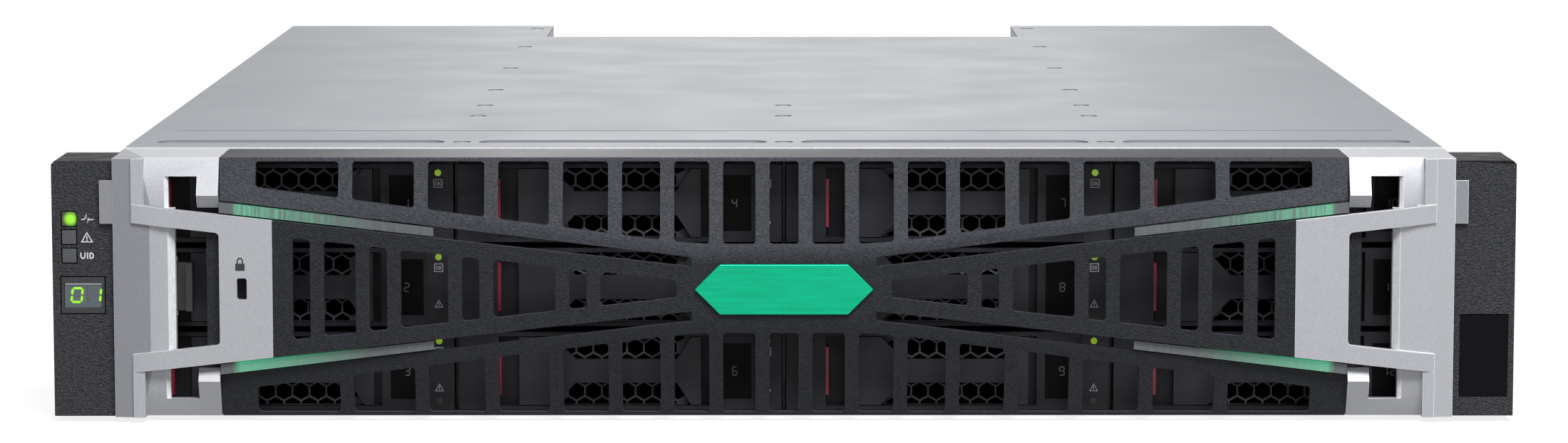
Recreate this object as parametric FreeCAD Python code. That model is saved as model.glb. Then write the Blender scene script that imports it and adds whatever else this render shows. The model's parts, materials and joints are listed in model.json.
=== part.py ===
"""Rack storage array: a 2U sheet-metal enclosure with twelve drive carriers behind a lattice bezel.

Millimetres. +X is right seen from the front, +Y runs to the rear and +Z is up.
While it is modelled, y = 0 is the front face of the rack flanges. Saving moves
every piece so that the origin is the bottom centre of the whole enclosure.
"""
import FreeCAD
import Part
import math
import os

Vector = FreeCAD.Vector

# Bays, which set the width and height of the enclosure
COLUMNS = 4
ROWS = 3
DISK_WIDTH = 101.6
TRAY_RAIL = 3.05
DIVIDER = 1.0
SIDE_GAP = 1.7
SHEET = 1.2
FIT = 0.3
CARRIER_HEIGHT = 26.1
ROW_GAP = 2.14
TOP_GAP = 2.62
CARRIER_WIDTH = DISK_WIDTH + 2 * TRAY_RAIL
COLUMN_PITCH = CARRIER_WIDTH + DIVIDER + 2 * FIT
ROW_PITCH = CARRIER_HEIGHT + ROW_GAP
ROW_BOTTOM = SHEET + FIT

# Overall sizes of the enclosure
EAR_WIDTH = 20.0
BODY_REAR = 576.8
REAR_REACH = 602.9
HALF_BODY = COLUMNS * COLUMN_PITCH / 2 + SIDE_GAP + SHEET
HALF_FLANGE = HALF_BODY + EAR_WIDTH
COVER_BOTTOM = ROW_BOTTOM + ROWS * ROW_PITCH - ROW_GAP + TOP_GAP
BODY_HEIGHT = COVER_BOTTOM + SHEET

# Sheet-metal body
SHEET_FRONT = 7.0
FLOOR_FRONT = -11.0
NOTCH_WIDTH = 207.0
NOTCH_DEPTH = 67.0
NOTCH_HALF = NOTCH_WIDTH / 2
NOTCH_FRONT = BODY_REAR - NOTCH_DEPTH
LIP_DEPTH = 1.2
RIB_WIDTH = 12.0
RIB_LENGTH = 98.0
RIB_PITCH = 109.5
RIB_SETBACK = 19.0
RIB_PRESS = 0.6
BEAD_SETBACK = 59.0
BEAD_WIDTH = 2.0
BEAD_INSET = 9.5
RIVET_RADIUS = 1.8
DIMPLE_RADIUS = 3.2
RIVET_SETBACKS = (117.0, 160.0, 228.0, 331.0, 445.0, 552.0)
RIVET_COLUMN = 110.0

# Rack flanges and ear covers
FLANGE_THICK = 2.0
FLANGE_LEG = 45.0
FLANGE_LEG_THICK = 1.2
EAR_BOTTOM = 1.7
EAR_DROP = 1.2
EAR_DEPTH = 27.0
EAR_WALL = 2.0
EAR_CHAMFER = 1.2
RACK_HOLE_OUT = 11.05
RACK_HOLE_MARGIN = 4.4
RACK_HOLE_RADIUS = 3.5
EAR_TOP = BODY_HEIGHT - EAR_DROP
EAR_HEIGHT = EAR_TOP - EAR_BOTTOM
EAR_MIDDLE = (EAR_BOTTOM + EAR_TOP) / 2
RACK_HOLE_RISE = EAR_HEIGHT - 2 * RACK_HOLE_MARGIN

# Operator panel on the left ear, and the plate on the right one
LIGHT_SIZE = 4.7
LIGHT_PITCH = 6.1
LIGHT_INSET = 3.3
TOP_LIGHT_DROP = 19.3
TOP_LIGHT_Z = EAR_TOP - TOP_LIGHT_DROP
LIGHT_DEPTH = 3.0
BUTTON_LENGTH = 5.0
BUTTON_FLANGE = 0.8
DISPLAY_WIDTH = 14.6
DISPLAY_HEIGHT = 12.4
DISPLAY_DROP = 44.7
DISPLAY_Z = EAR_TOP - DISPLAY_DROP
DISPLAY_DEPTH = 2.5
DISPLAY_RIM = 0.9
DISPLAY_SINK = 1.0
PLATE_WIDTH = 16.0
PLATE_HEIGHT = 27.6
PLATE_RISE = 20.1
PLATE_Z = EAR_BOTTOM + PLATE_RISE
PLATE_RECESS = 0.8

# Bezel
BEZEL_BOTTOM = 1.6
BEZEL_TOP = BODY_HEIGHT - FIT
BEZEL_MIDDLE = (BEZEL_BOTTOM + BEZEL_TOP) / 2
BEZEL_BACK = 4.0
BEZEL_SKIN = 2.6
BEZEL_WALL = 1.3
BEZEL_HALF = HALF_BODY - FIT
EDGE_SINK = 2.0
EDGE_FRONT = EDGE_SINK - EAR_DEPTH
BOW_REACH = 4.5
BOW_FRONT = -EAR_DEPTH - BOW_REACH
BADGE_THICK = 1.5
FRONT_REACH = BADGE_THICK - BOW_FRONT
HUB_HALF = 30.4
HUB_HEIGHT = 10.6
HUB_WINDOW = 14.7
CAP_WIDTH = 35.2
FRAME_MARGIN = 11.8
FRAME_HALF = BEZEL_HALF - CAP_WIDTH
FRAME_WINDOW_END = FRAME_HALF - FRAME_MARGIN
FRAME_CORNER = 1.2
VALLEY_SLOPE = 0.1187
WINDOW_SLOPE = 0.1284
BAR_WIDTH = 4.6
BAR_CENTRES = (7.1, 22.4, 38.5, 55.7, 75.2, 96.5, 119.7, 144.6)
RAIL_VISIBLE = 1.2
WEDGE_START_HALF = 7.4
WEDGE_SLOPE = 0.1112
LOCK_PANEL = 17.5
WEDGE_END = FRAME_HALF - LOCK_PANEL
WEDGE_INSET = 5.0
NARROW_WINDOW = 5.7
NARROW_CENTRES = (67.9, 103.2, 133.6, 158.9)
POST_REACH = 4.4
POST_DEPTH = 4.9
POST_STEP = 1.3
POST_OVERLAP = 1.0
LIGHT_BAR_LENGTH = 70.5
LIGHT_BAR_START = FRAME_HALF - LIGHT_BAR_LENGTH
LIGHT_BAR_GAP = 0.5
BADGE_WIDTH = 59.0
BADGE_HEIGHT = 16.7

# Bezel end caps, places measured inwards from the bezel's end
GRIP_RAIL = 20.3
ARM_INSET = 12.2
RAIL_CHAMFER = 6.3
CORNER_INSET = 10.2
ARM_WIDTH = 6.1
ARM_BEND = 16.2
GRIP_CORNER = 1.5
GRIP_BEVEL = 2.1
GRIP_SINK = 1.6
GRIP_OUTER = BEZEL_HALF - GRIP_RAIL
ARM_OUTER = BEZEL_HALF - ARM_INSET
ARM_BEND_X = BEZEL_HALF - ARM_BEND
RAIL_FLAT = BEZEL_HALF - RAIL_CHAMFER
CORNER_END = BEZEL_HALF - CORNER_INSET
RAIL_STEP = 1.3
RAIL_FLAT_FRONT = BOW_FRONT + RAIL_STEP
RAIL_SINK = 3.1
RAIL_BACK = RAIL_SINK - EAR_DEPTH
CAP_SIDE_WALL = 2.0
CORNER_DROP = 12.1
CORNER_FOOT_DROP = 16.3
CORNER_STEP = 1.0
CORNER_FRONT = BOW_FRONT + CORNER_STEP
CORNER_LOW = BEZEL_TOP - CORNER_DROP
CORNER_FOOT = BEZEL_TOP - CORNER_FOOT_DROP
PEEP_INSET = 7.4
PEEP_WIDTH = 9.6
PEEP_BEVEL = 1.2
PEEP_DROP = 6.0
PEEP_TOP = BEZEL_TOP - PEEP_DROP
PEEP_INNER = FRAME_HALF + PEEP_INSET
PEEP_OUTER = PEEP_INNER + PEEP_WIDTH
TAB_WIDTH = 4.3
TAB_DROP = 7.3
TAB_HEIGHT = 14.3
TAB_HIGH = BEZEL_TOP - TAB_DROP
TAB_LOW = TAB_HIGH - TAB_HEIGHT
TAB_THICK = 1.3
BAND_LEAD = 0.2
BAND_FRONT = -EAR_DEPTH - FIT - TAB_THICK - BAND_LEAD
LOCK_INSET = 7.4
LOCK_X = FRAME_HALF - LOCK_INSET
LOCK_WIDTH = 3.3
LOCK_HEIGHT = 7.2
LATCH_HEIGHT = 16.0
LATCH_THICK = 3.0
LATCH_TRAVEL = 3.0
LATCH_FINGER = 2.1
GUIDE_THICK = 1.5

# Drive bays
CARRIER_FRONT = -12.0
CAGE_FRONT = -6.0
LEDGE_REACH = 4.0
MIDPLANE_FRONT = 180.0
MIDPLANE_THICK = 3.0

# Drive carrier, its left part measured from the left end and its right part from the right end
FACE_DEPTH = 18.0
FACE_WALL = 1.3
FACE_SKIN = 1.5
LEVER_PLATE_BACK = 4.0
LEFT_PANEL = 13.2
FINGER_END = 19.8
LEVER_TAPER_START = 31.5
LEVER_TAPER_END = 39.0
FLARE_START_INSET = 35.0
FLARE_END_INSET = 30.1
LEVER_END_INSET = 26.9
LEVER_FLARE_START = CARRIER_WIDTH - FLARE_START_INSET
LEVER_FLARE_END = CARRIER_WIDTH - FLARE_END_INSET
LEVER_END = CARRIER_WIDTH - LEVER_END_INSET
LEVER_BAR = 7.9
LEVER_THICK = 2.4
PIVOT_INSET = 28.9
PIVOT_X = CARRIER_WIDTH - PIVOT_INSET
PIVOT_RADIUS = 1.4
STUB_RADIUS = 0.9
STUB_LENGTH = 0.8
STUB_CLEARANCE = 0.08
LABEL_PANEL_INSET = 24.1
LABEL_INSET = 21.3
LABEL_PANEL = CARRIER_WIDTH - LABEL_PANEL_INSET
LABEL_START = CARRIER_WIDTH - LABEL_INSET
LABEL_WIDTH = 11.3
LABEL_HEIGHT = 18.8
LABEL_THICK = 0.4
STRIP_INSET = 9.5
PIPE_INSET = 5.0
LIGHT_STRIP = CARRIER_WIDTH - STRIP_INSET
PIPE_X = CARRIER_WIDTH - PIPE_INSET
PIPE_RADIUS = 1.1
PIPE_LENGTH = 10.0
PIPE_FROM_TOP = 2.9
CATCH_WIDTH = 0.95
CATCH_HEIGHT = 16.1
HEX_PITCH = 5.65
HEX_WEB = 0.6
HEX_ROWS = 6
HEX_COLUMNS = 7
DISK_HEIGHT = 25.4
DISK_LENGTH = 147.0
DISK_REAR = 164.0
RAIL_HEIGHT = 16.0

# Midplane connectors
PLUG_WIDTH = 42.0
PLUG_HEIGHT = 8.0
REAR_PLUG_DEPTH = 14.0

# Controller canisters
SHELF = 1.0
CANISTER_WALL = 1.0
CANISTER_CLEARANCE = 4.5
CANISTER_FLANGE = 2.0
BOARD_THICK = 1.6
BOARD_LIFT = 5.0
STANDOFF_RADIUS = 3.0
STANDOFF_INSET = 30.0
PORT_WIDTH = 14.0
PORT_HEIGHT = 10.0
PORT_DEPTH = 45.0
PORT_WALL = 0.6
PORT_PITCH = 16.5
PORT_COUNT = 4
PORT_FIRST_X = -52.0
MINI_PORT_X = 24.0
MINI_PORT_WIDTH = 18.0
LAN_PORT_X = 48.0
LAN_PORT_WIDTH = 13.0
LAN_PORT_HEIGHT = 12.0
VENT_COUNT = 17
VENT_PITCH = 7.0
VENT_WIDTH = 4.0
VENT_HEIGHT = 9.0
VENT_DROP = 10.0
SINK_SIZE = 60.0
SINK_FIN = 1.5
SINK_HEIGHT = 18.0
MODULE_LENGTH = 110.0
EJECTOR_LENGTH = 30.0
EJECTOR_HEIGHT = 14.0
EJECTOR_THICK = 4.0
EJECTOR_PIVOT_IN = 5.5
EJECTOR_PIN = 1.5

# Power supplies
PSU_CLEARANCE = 19.5
PSU_WALL = 1.2
FAN_RADIUS = 28.0
FAN_X = 16.0
FAN_DEPTH = 18.0
FAN_HUB = 11.0
FAN_BLADES = 7
BLADE_THICK = 1.6
BLADE_TWIST = 35.0
MOTOR_PIN = 2.5
GRILLE_RINGS = 4
GRILLE_SPOKES = 6
GRILLE_BAR = 1.6
INLET_X = 36.0
INLET_Z = 21.0
INLET_WIDTH = 27.0
INLET_HEIGHT = 20.0
INLET_DEPTH = 18.0
INLET_PIN = 4.0
SWITCH_Z = 48.0
SWITCH_WIDTH = 12.0
SWITCH_HEIGHT = 18.0
SWITCH_DEPTH = 6.0
SWITCH_FRAME = 2.0
HANDLE_DROP = 11.9
HANDLE_PIVOT_Z = BODY_HEIGHT - HANDLE_DROP
HANDLE_PIVOT_BEHIND = 3.5
HANDLE_ROD = 2.5
HANDLE_SPAN = 58.0
LUG_THICK = 3.0
LUG_RADIUS = 3.5


def box(low, high):
    """A block between two corners."""
    size = [b - a for a, b in zip(low, high)]
    return Part.makeBox(*size, Vector(*low))


def rod(radius, start, end):
    """A round bar from one point to another."""
    along = Vector(*end) - Vector(*start)
    return Part.makeCylinder(radius, along.Length, Vector(*start), along)


def corner_arc(before, corner, after, radius):
    """Start, middle and end of the arc that rounds one corner of an outline."""
    back = (before - corner).normalize()
    ahead = (after - corner).normalize()
    half = back.getAngle(ahead) / 2
    run = radius / math.tan(half)
    inward = (back + ahead).normalize()
    middle = corner + inward * (radius / math.sin(half) - radius)
    return corner + back * run, middle, corner + ahead * run


def outline(points, radius):
    """A closed wire through the points, with rounded corners if a radius is given."""
    if radius <= 0:
        return Part.makePolygon(points + points[:1])
    count = len(points)
    arcs = [corner_arc(points[i - 1], points[i], points[(i + 1) % count], radius) for i in range(count)]
    edges = []
    for i, (start, middle, end) in enumerate(arcs):
        edges.append(Part.Arc(start, middle, end).toShape())
        edges.append(Part.LineSegment(end, arcs[(i + 1) % count][0]).toShape())
    return Part.Wire(edges)


def prism_y(points, y_from, y_to, radius=0.0):
    """An outline of (x, z) points, drawn out along Y."""
    wire = outline([Vector(x, y_from, z) for x, z in points], radius)
    return Part.Face(wire).extrude(Vector(0, y_to - y_from, 0))


def prism_z(points, z_from, z_to, radius=0.0):
    """An outline of (x, y) points, drawn out along Z."""
    wire = outline([Vector(x, y, z_from) for x, y in points], radius)
    return Part.Face(wire).extrude(Vector(0, 0, z_to - z_from))


def prism_x(points, x_from, x_to, radius=0.0):
    """An outline of (y, z) points, drawn out along X."""
    wire = outline([Vector(x_from, y, z) for y, z in points], radius)
    return Part.Face(wire).extrude(Vector(x_to - x_from, 0, 0))


def fuse(pieces):
    """One solid from pieces that meet."""
    return pieces[0].multiFuse(pieces[1:]).removeSplitter()


def cut(shape, tools):
    """The shape with every tool taken away."""
    return shape.cut(Part.makeCompound(tools))


def group(pieces):
    """Separate solids kept together in one node."""
    return Part.makeCompound(pieces)


def mirrored(shape):
    """The same piece on the other side of the centre line."""
    return shape.mirror(Vector(0, 0, 0), Vector(1, 0, 0))


def flipped(shape):
    """The same piece upside down about the bezel's middle height."""
    return shape.mirror(Vector(0, 0, BEZEL_MIDDLE), Vector(0, 0, 1))


def both_sides(shape):
    """The piece and its mirror image."""
    return [shape, mirrored(shape)]


def save(node, shape):
    """Move the piece into the enclosure's frame and write it."""
    flange_y = (FRONT_REACH - REAR_REACH) / 2
    shape.translate(Vector(0, flange_y, 0))
    shape.exportStep("parts/" + node + ".step")


# Sheet-metal body

def notch_tool():
    """The space behind the controllers that the floor and the cover leave open."""
    return box((-NOTCH_HALF, NOTCH_FRONT, -1), (NOTCH_HALF, BODY_REAR + 1, BODY_HEIGHT + 1))


def canister_height():
    """Room for one of two canisters above each other, less its clearances."""
    return (COVER_BOTTOM - LIP_DEPTH - SHEET - SHELF - 4 * FIT) / 2


def shelf_bottom():
    return SHEET + canister_height() + 2 * FIT


def bay_front():
    """Where the canisters and power supplies begin, behind the midplane's plugs."""
    return MIDPLANE_FRONT + MIDPLANE_THICK + REAR_PLUG_DEPTH + FIT


def chassis_base():
    """Floor with a tongue under the drives, side walls, and the controller bay's walls and shelf."""
    floor = box((-HALF_BODY, SHEET_FRONT, 0), (HALF_BODY, BODY_REAR, SHEET))
    wall = box((HALF_BODY - SHEET, SHEET_FRONT, 0), (HALF_BODY, BODY_REAR, COVER_BOTTOM))
    bay_wall = box((NOTCH_HALF, bay_front(), 0), (NOTCH_HALF + SHEET, BODY_REAR, COVER_BOTTOM))
    shelf = box((-NOTCH_HALF, bay_front(), shelf_bottom()), (NOTCH_HALF, NOTCH_FRONT, shelf_bottom() + SHELF))
    floor = cut(floor, [notch_tool()])
    tongue = box((SHEET - HALF_BODY, FLOOR_FRONT, 0), (HALF_BODY - SHEET, SHEET_FRONT, SHEET))
    return fuse([floor, tongue, shelf] + both_sides(wall) + both_sides(bay_wall))


def rivet_places():
    """Top-cover rivets: two columns down the cover, and pairs between the front ribs."""
    places = [(side * RIVET_COLUMN, SHEET_FRONT + back) for back in RIVET_SETBACKS for side in (-1, 1)]
    places += [(0, SHEET_FRONT + back) for back in RIVET_SETBACKS[:2]]
    places += [(column * RIB_PITCH, SHEET_FRONT + RIB_SETBACK) for column in (-1, 0, 1)]
    return places


def stadium(centre_x, centre_y, length, width, z_from, z_to):
    """A long slot shape with round ends, lying along X."""
    reach = (length - width) / 2
    middle = box((centre_x - reach, centre_y - width / 2, z_from),
                 (centre_x + reach, centre_y + width / 2, z_to))
    ends = [rod(width / 2, (centre_x + side * reach, centre_y, z_from),
                (centre_x + side * reach, centre_y, z_to))
            for side in (-1, 1)]
    return fuse([middle] + ends)


def top_cover():
    sheet = box((-HALF_BODY, SHEET_FRONT, COVER_BOTTOM), (HALF_BODY, BODY_REAR, BODY_HEIGHT))
    pressed = BODY_HEIGHT - RIB_PRESS
    above = BODY_HEIGHT + 1
    tools = [notch_tool()]
    for column in range(COLUMNS):
        rib_x = (column - (COLUMNS - 1) / 2) * RIB_PITCH
        tools.append(stadium(rib_x, SHEET_FRONT + RIB_SETBACK, RIB_LENGTH, RIB_WIDTH, pressed, above))
    tools.append(stadium(0, SHEET_FRONT + BEAD_SETBACK, 2 * (HALF_BODY - BEAD_INSET), BEAD_WIDTH, pressed,
                         above))
    tools += [rod(DIMPLE_RADIUS, (x, y, pressed), (x, y, above)) for x, y in rivet_places()]
    lip = box((-NOTCH_HALF, NOTCH_FRONT - SHEET, COVER_BOTTOM - LIP_DEPTH),
              (NOTCH_HALF, NOTCH_FRONT, BODY_HEIGHT))
    return fuse([cut(sheet, tools), lip])


def chassis_fasteners():
    """Rivet heads in the cover's dimples, and screws that hold the flange legs to the walls."""
    heads = [rod(RIVET_RADIUS, (x, y, BODY_HEIGHT - RIB_PRESS), (x, y, BODY_HEIGHT - RIB_PRESS / 4))
             for x, y in rivet_places()]
    leg_face = HALF_BODY + FLANGE_LEG_THICK
    for z in (EAR_MIDDLE - EAR_HEIGHT / 4, EAR_MIDDLE + EAR_HEIGHT / 4):
        screw = rod(2 * RIVET_RADIUS, (leg_face, FLANGE_LEG * 0.6, z),
                    (leg_face + RIB_PRESS, FLANGE_LEG * 0.6, z))
        heads += both_sides(screw)
    return group(heads)


def ear_outline():
    """The right ear in the front view, with its upper outer corner cut off."""
    return [(HALF_BODY, EAR_BOTTOM), (HALF_FLANGE, EAR_BOTTOM), (HALF_FLANGE, EAR_TOP - EAR_CHAMFER),
            (HALF_FLANGE - EAR_CHAMFER, EAR_TOP), (HALF_BODY, EAR_TOP)]


def rack_flanges():
    """Two steel angles on the chassis sides, each with two rack screw holes."""
    plate = prism_y(ear_outline(), 0, FLANGE_THICK)
    leg = box((HALF_BODY, 0, EAR_BOTTOM), (HALF_BODY + FLANGE_LEG_THICK, FLANGE_LEG, EAR_TOP))
    hole_x = HALF_BODY + RACK_HOLE_OUT
    holes = [rod(RACK_HOLE_RADIUS, (hole_x, -1, EAR_MIDDLE + rise),
                 (hole_x, FLANGE_THICK + 1, EAR_MIDDLE + rise))
             for rise in (-RACK_HOLE_RISE / 2, RACK_HOLE_RISE / 2)]
    return group(both_sides(cut(fuse([plate, leg]), holes)))


# Ear covers and the operator panel

def ear_shell():
    """Right ear cover before its openings: a hollow cap that is open at the flange."""
    hollow = box((HALF_BODY + EAR_WALL, -EAR_DEPTH + EAR_WALL, EAR_BOTTOM + EAR_WALL),
                 (HALF_FLANGE - EAR_WALL, 1, EAR_TOP - EAR_WALL - EAR_CHAMFER / 2))
    return cut(prism_y(ear_outline(), -EAR_DEPTH, 0), [hollow])


def light_x():
    return -HALF_FLANGE + LIGHT_INSET + LIGHT_SIZE / 2


def light_z(index):
    return TOP_LIGHT_Z - index * LIGHT_PITCH


def panel_block(centre_x, centre_z, width, height, y_from, y_to):
    """A block given by its centre and size in the front view."""
    return box((centre_x - width / 2, y_from, centre_z - height / 2),
               (centre_x + width / 2, y_to, centre_z + height / 2))


def ear_middle_x():
    return (HALF_BODY + HALF_FLANGE) / 2


def left_ear_cover():
    front = -EAR_DEPTH - 1
    inside = -EAR_DEPTH + EAR_WALL + 1
    hole = LIGHT_SIZE + 2 * FIT
    tools = [panel_block(light_x(), light_z(i), hole, hole, front, inside) for i in range(3)]
    tools.append(panel_block(-ear_middle_x(), DISPLAY_Z, DISPLAY_WIDTH + FIT, DISPLAY_HEIGHT + FIT, front,
                             inside))
    slot_height = LATCH_HEIGHT + 2
    tools.append(box((-HALF_BODY - EAR_WALL - 1, latch_front() - 1, BEZEL_MIDDLE - slot_height / 2),
                     (-HALF_BODY + 1, latch_front() + LATCH_THICK + 1, BEZEL_MIDDLE + slot_height / 2)))
    return cut(mirrored(ear_shell()), tools)


def right_ear_cover():
    recess = panel_block(ear_middle_x(), PLATE_Z, PLATE_WIDTH, PLATE_HEIGHT, -EAR_DEPTH - 1,
                         -EAR_DEPTH + PLATE_RECESS)
    return cut(ear_shell(), [recess])


def info_plate():
    """A bare plate that lies in the right ear's recess."""
    return panel_block(ear_middle_x(), PLATE_Z, PLATE_WIDTH - FIT, PLATE_HEIGHT - FIT,
                       -EAR_DEPTH + PLATE_RECESS / 2, -EAR_DEPTH + PLATE_RECESS)


def ops_display():
    """A framed window in the ear, with the display module behind it."""
    rim = (DISPLAY_WIDTH - FIT, DISPLAY_HEIGHT - FIT)
    case = panel_block(-ear_middle_x(), DISPLAY_Z, *rim, -EAR_DEPTH, -EAR_DEPTH + DISPLAY_DEPTH)
    window = panel_block(-ear_middle_x(), DISPLAY_Z, rim[0] - 2 * DISPLAY_RIM, rim[1] - 4 * DISPLAY_RIM,
                         -EAR_DEPTH - 1, -EAR_DEPTH + DISPLAY_SINK)
    return cut(case, [window])


def status_lights():
    """Light pipes of the health and fault windows, on one carrier bar behind the ear's front."""
    pipes = [panel_block(light_x(), light_z(i), LIGHT_SIZE, LIGHT_SIZE, -EAR_DEPTH, -EAR_DEPTH + LIGHT_DEPTH)
             for i in range(2)]
    bar_back = -EAR_DEPTH + LIGHT_DEPTH + 1
    bar = box((light_x() - LIGHT_SIZE / 2, -EAR_DEPTH + LIGHT_DEPTH, light_z(1) - LIGHT_SIZE / 2),
              (light_x() + LIGHT_SIZE / 2, bar_back, light_z(0) + LIGHT_SIZE / 2))
    return fuse(pipes + [bar])


def uid_button():
    """A square key with a stop flange behind the ear's front wall."""
    back = -EAR_DEPTH + EAR_WALL + FIT
    key = panel_block(light_x(), light_z(2), LIGHT_SIZE, LIGHT_SIZE, -EAR_DEPTH, -EAR_DEPTH + BUTTON_LENGTH)
    flange_size = LIGHT_SIZE + 2 * BUTTON_FLANGE
    flange = box((light_x() - LIGHT_SIZE / 2, back, light_z(2) - flange_size / 2),
                 (light_x() + flange_size / 2, back + BUTTON_FLANGE, light_z(2) + LIGHT_SIZE / 2))
    return fuse([key, flange])


# Bezel

def valley_half(x):
    """Half height of the lower edge of the upper lattice, at a distance from the centre."""
    return HUB_HEIGHT + VALLEY_SLOPE * max(0.0, x - HUB_HALF)


def window_half(x):
    return HUB_WINDOW + WINDOW_SLOPE * max(0.0, x - HUB_HALF)


def wedge_half(x):
    return WEDGE_START_HALF + WEDGE_SLOPE * (x - HUB_HALF)


def panel_windows():
    """Outlines of the upper lattice's windows on the right half."""
    bars = [c for c in BAR_CENTRES if c + 2 * BAR_WIDTH < FRAME_WINDOW_END]
    starts = [c + BAR_WIDTH / 2 for c in bars]
    ends = [c - BAR_WIDTH / 2 for c in bars[1:]] + [FRAME_WINDOW_END]
    return list(zip(starts, ends))


def wedge_windows():
    """Outlines of the middle wedge's windows: wide and narrow ones in turn."""
    windows = []
    start = HUB_HALF + WEDGE_INSET
    for centre in [c for c in NARROW_CENTRES if c + NARROW_WINDOW < WEDGE_END]:
        narrow_start = centre - NARROW_WINDOW / 2
        windows.append((start, narrow_start - BAR_WIDTH))
        windows.append((narrow_start, narrow_start + NARROW_WINDOW))
        start = narrow_start + NARROW_WINDOW + BAR_WIDTH
    return windows


def upper_lattice():
    """The leaning upper panel with its rail, above the valley line, pierced by its windows."""
    hub_top = BEZEL_MIDDLE + HUB_HEIGHT
    slab = prism_x([(EDGE_FRONT, BEZEL_TOP), (BOW_FRONT, hub_top), (BOW_FRONT + BEZEL_SKIN, hub_top),
                    (EDGE_FRONT + BEZEL_SKIN, BEZEL_TOP)], -FRAME_HALF, FRAME_HALF)
    below = [(-FRAME_HALF - 1, BEZEL_BOTTOM), (FRAME_HALF + 1, BEZEL_BOTTOM)]
    valley = [(x, BEZEL_MIDDLE + valley_half(abs(x)))
              for x in (FRAME_HALF + 1, HUB_HALF, -HUB_HALF, -FRAME_HALF - 1)]
    depth = (BOW_FRONT - 1, EDGE_FRONT + BEZEL_SKIN + 1)
    tools = [prism_y(below + valley, *depth)]
    rail = BEZEL_TOP - RAIL_VISIBLE
    half_bar = BAR_CENTRES[0] - BAR_WIDTH / 2
    sill = BEZEL_MIDDLE + HUB_WINDOW
    tools.append(prism_y([(-half_bar, sill), (half_bar, sill), (half_bar, rail), (-half_bar, rail)], *depth,
                         FRAME_CORNER))
    for start, end in panel_windows():
        corners = [(start, BEZEL_MIDDLE + window_half(start)), (end, BEZEL_MIDDLE + window_half(end)),
                   (end, rail), (start, rail)]
        tools += both_sides(prism_y(corners, *depth, FRAME_CORNER))
    return cut(slab, tools)


def wedge():
    """The right half of the bow-tie panel across the middle."""
    corners = [(HUB_HALF, BEZEL_MIDDLE - wedge_half(HUB_HALF)),
               (WEDGE_END, BEZEL_MIDDLE - wedge_half(WEDGE_END)),
               (WEDGE_END, BEZEL_MIDDLE + wedge_half(WEDGE_END)),
               (HUB_HALF, BEZEL_MIDDLE + wedge_half(HUB_HALF))]
    tools = []
    for start, end in wedge_windows():
        low = wedge_half(start) - WEDGE_INSET
        high = wedge_half(end) - WEDGE_INSET
        hole = [(start, BEZEL_MIDDLE - low), (end, BEZEL_MIDDLE - high),
                (end, BEZEL_MIDDLE + high), (start, BEZEL_MIDDLE + low)]
        tools.append(prism_y(hole, BOW_FRONT - 1, BOW_FRONT + BEZEL_SKIN + 1, FRAME_CORNER))
    return cut(prism_y(corners, BOW_FRONT, BOW_FRONT + BEZEL_SKIN), tools)


def bezel_frame():
    top_rail = box((-FRAME_HALF, EDGE_FRONT, BEZEL_TOP - RAIL_VISIBLE), (FRAME_HALF, BEZEL_BACK, BEZEL_TOP))
    sill_back = EDGE_FRONT + BEZEL_SKIN
    bottom_rail = box((-FRAME_HALF, EDGE_FRONT, BEZEL_BOTTOM),
                      (FRAME_HALF, sill_back, BEZEL_BOTTOM + RAIL_VISIBLE))
    hub = panel_block(0, BEZEL_MIDDLE, 2 * HUB_HALF, 2 * HUB_HEIGHT, BOW_FRONT, BOW_FRONT + BEZEL_SKIN)
    post_front = BOW_FRONT + BEZEL_SKIN
    post_back = post_front + POST_DEPTH
    post_start = WEDGE_END - POST_REACH
    tie = prism_y(bow_wing(post_start, FRAME_HALF), post_front, post_back)
    near = valley_half(post_start) + POST_OVERLAP
    far = valley_half(FRAME_HALF) + POST_OVERLAP
    post = prism_y([(post_start, BEZEL_MIDDLE - near), (FRAME_HALF, BEZEL_MIDDLE - far),
                    (FRAME_HALF, BEZEL_MIDDLE + far), (post_start, BEZEL_MIDDLE + near)],
                   post_front + POST_STEP, post_back)
    lock_room = panel_block(-LOCK_X, BEZEL_MIDDLE, LOCK_WIDTH, LOCK_HEIGHT, post_front - 1,
                            post_front + POST_DEPTH / 2)
    pieces = [upper_lattice(), flipped(upper_lattice()), top_rail, bottom_rail, hub]
    edge_half = wedge_half(FRAME_HALF)
    post_edge = box((FRAME_HALF, post_front, BEZEL_MIDDLE - edge_half),
                    (FRAME_HALF + POST_REACH, post_back, BEZEL_MIDDLE + edge_half))
    pieces += both_sides(wedge()) + both_sides(tie) + both_sides(post) + both_sides(post_edge)
    return cut(fuse(pieces), [lock_room])


def bezel_light_bars():
    """Four light guides in the outer ends of the valleys."""
    def edges(x):
        return wedge_half(x) + LIGHT_BAR_GAP, valley_half(x) - LIGHT_BAR_GAP
    low_start, high_start = edges(LIGHT_BAR_START)
    low_end, high_end = edges(FRAME_HALF)
    corners = [(LIGHT_BAR_START, BEZEL_MIDDLE + low_start), (FRAME_HALF, BEZEL_MIDDLE + low_end),
               (FRAME_HALF, BEZEL_MIDDLE + high_end), (LIGHT_BAR_START, BEZEL_MIDDLE + high_start)]
    bar = prism_y(corners, BOW_FRONT + BEZEL_SKIN / 2, BOW_FRONT + BEZEL_SKIN + POST_STEP)
    upper = both_sides(bar)
    return group(upper + [flipped(piece) for piece in upper])


def bezel_badge():
    """A plain six-sided plate on the middle of the bezel."""
    tip = BADGE_WIDTH / 2
    shoulder = tip - BADGE_HEIGHT / 2
    half = BADGE_HEIGHT / 2
    corners = [(-tip, 0), (-shoulder, -half), (shoulder, -half), (tip, 0), (shoulder, half),
               (-shoulder, half)]
    return prism_y([(x, BEZEL_MIDDLE + z) for x, z in corners], -FRONT_REACH, BOW_FRONT)


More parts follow.
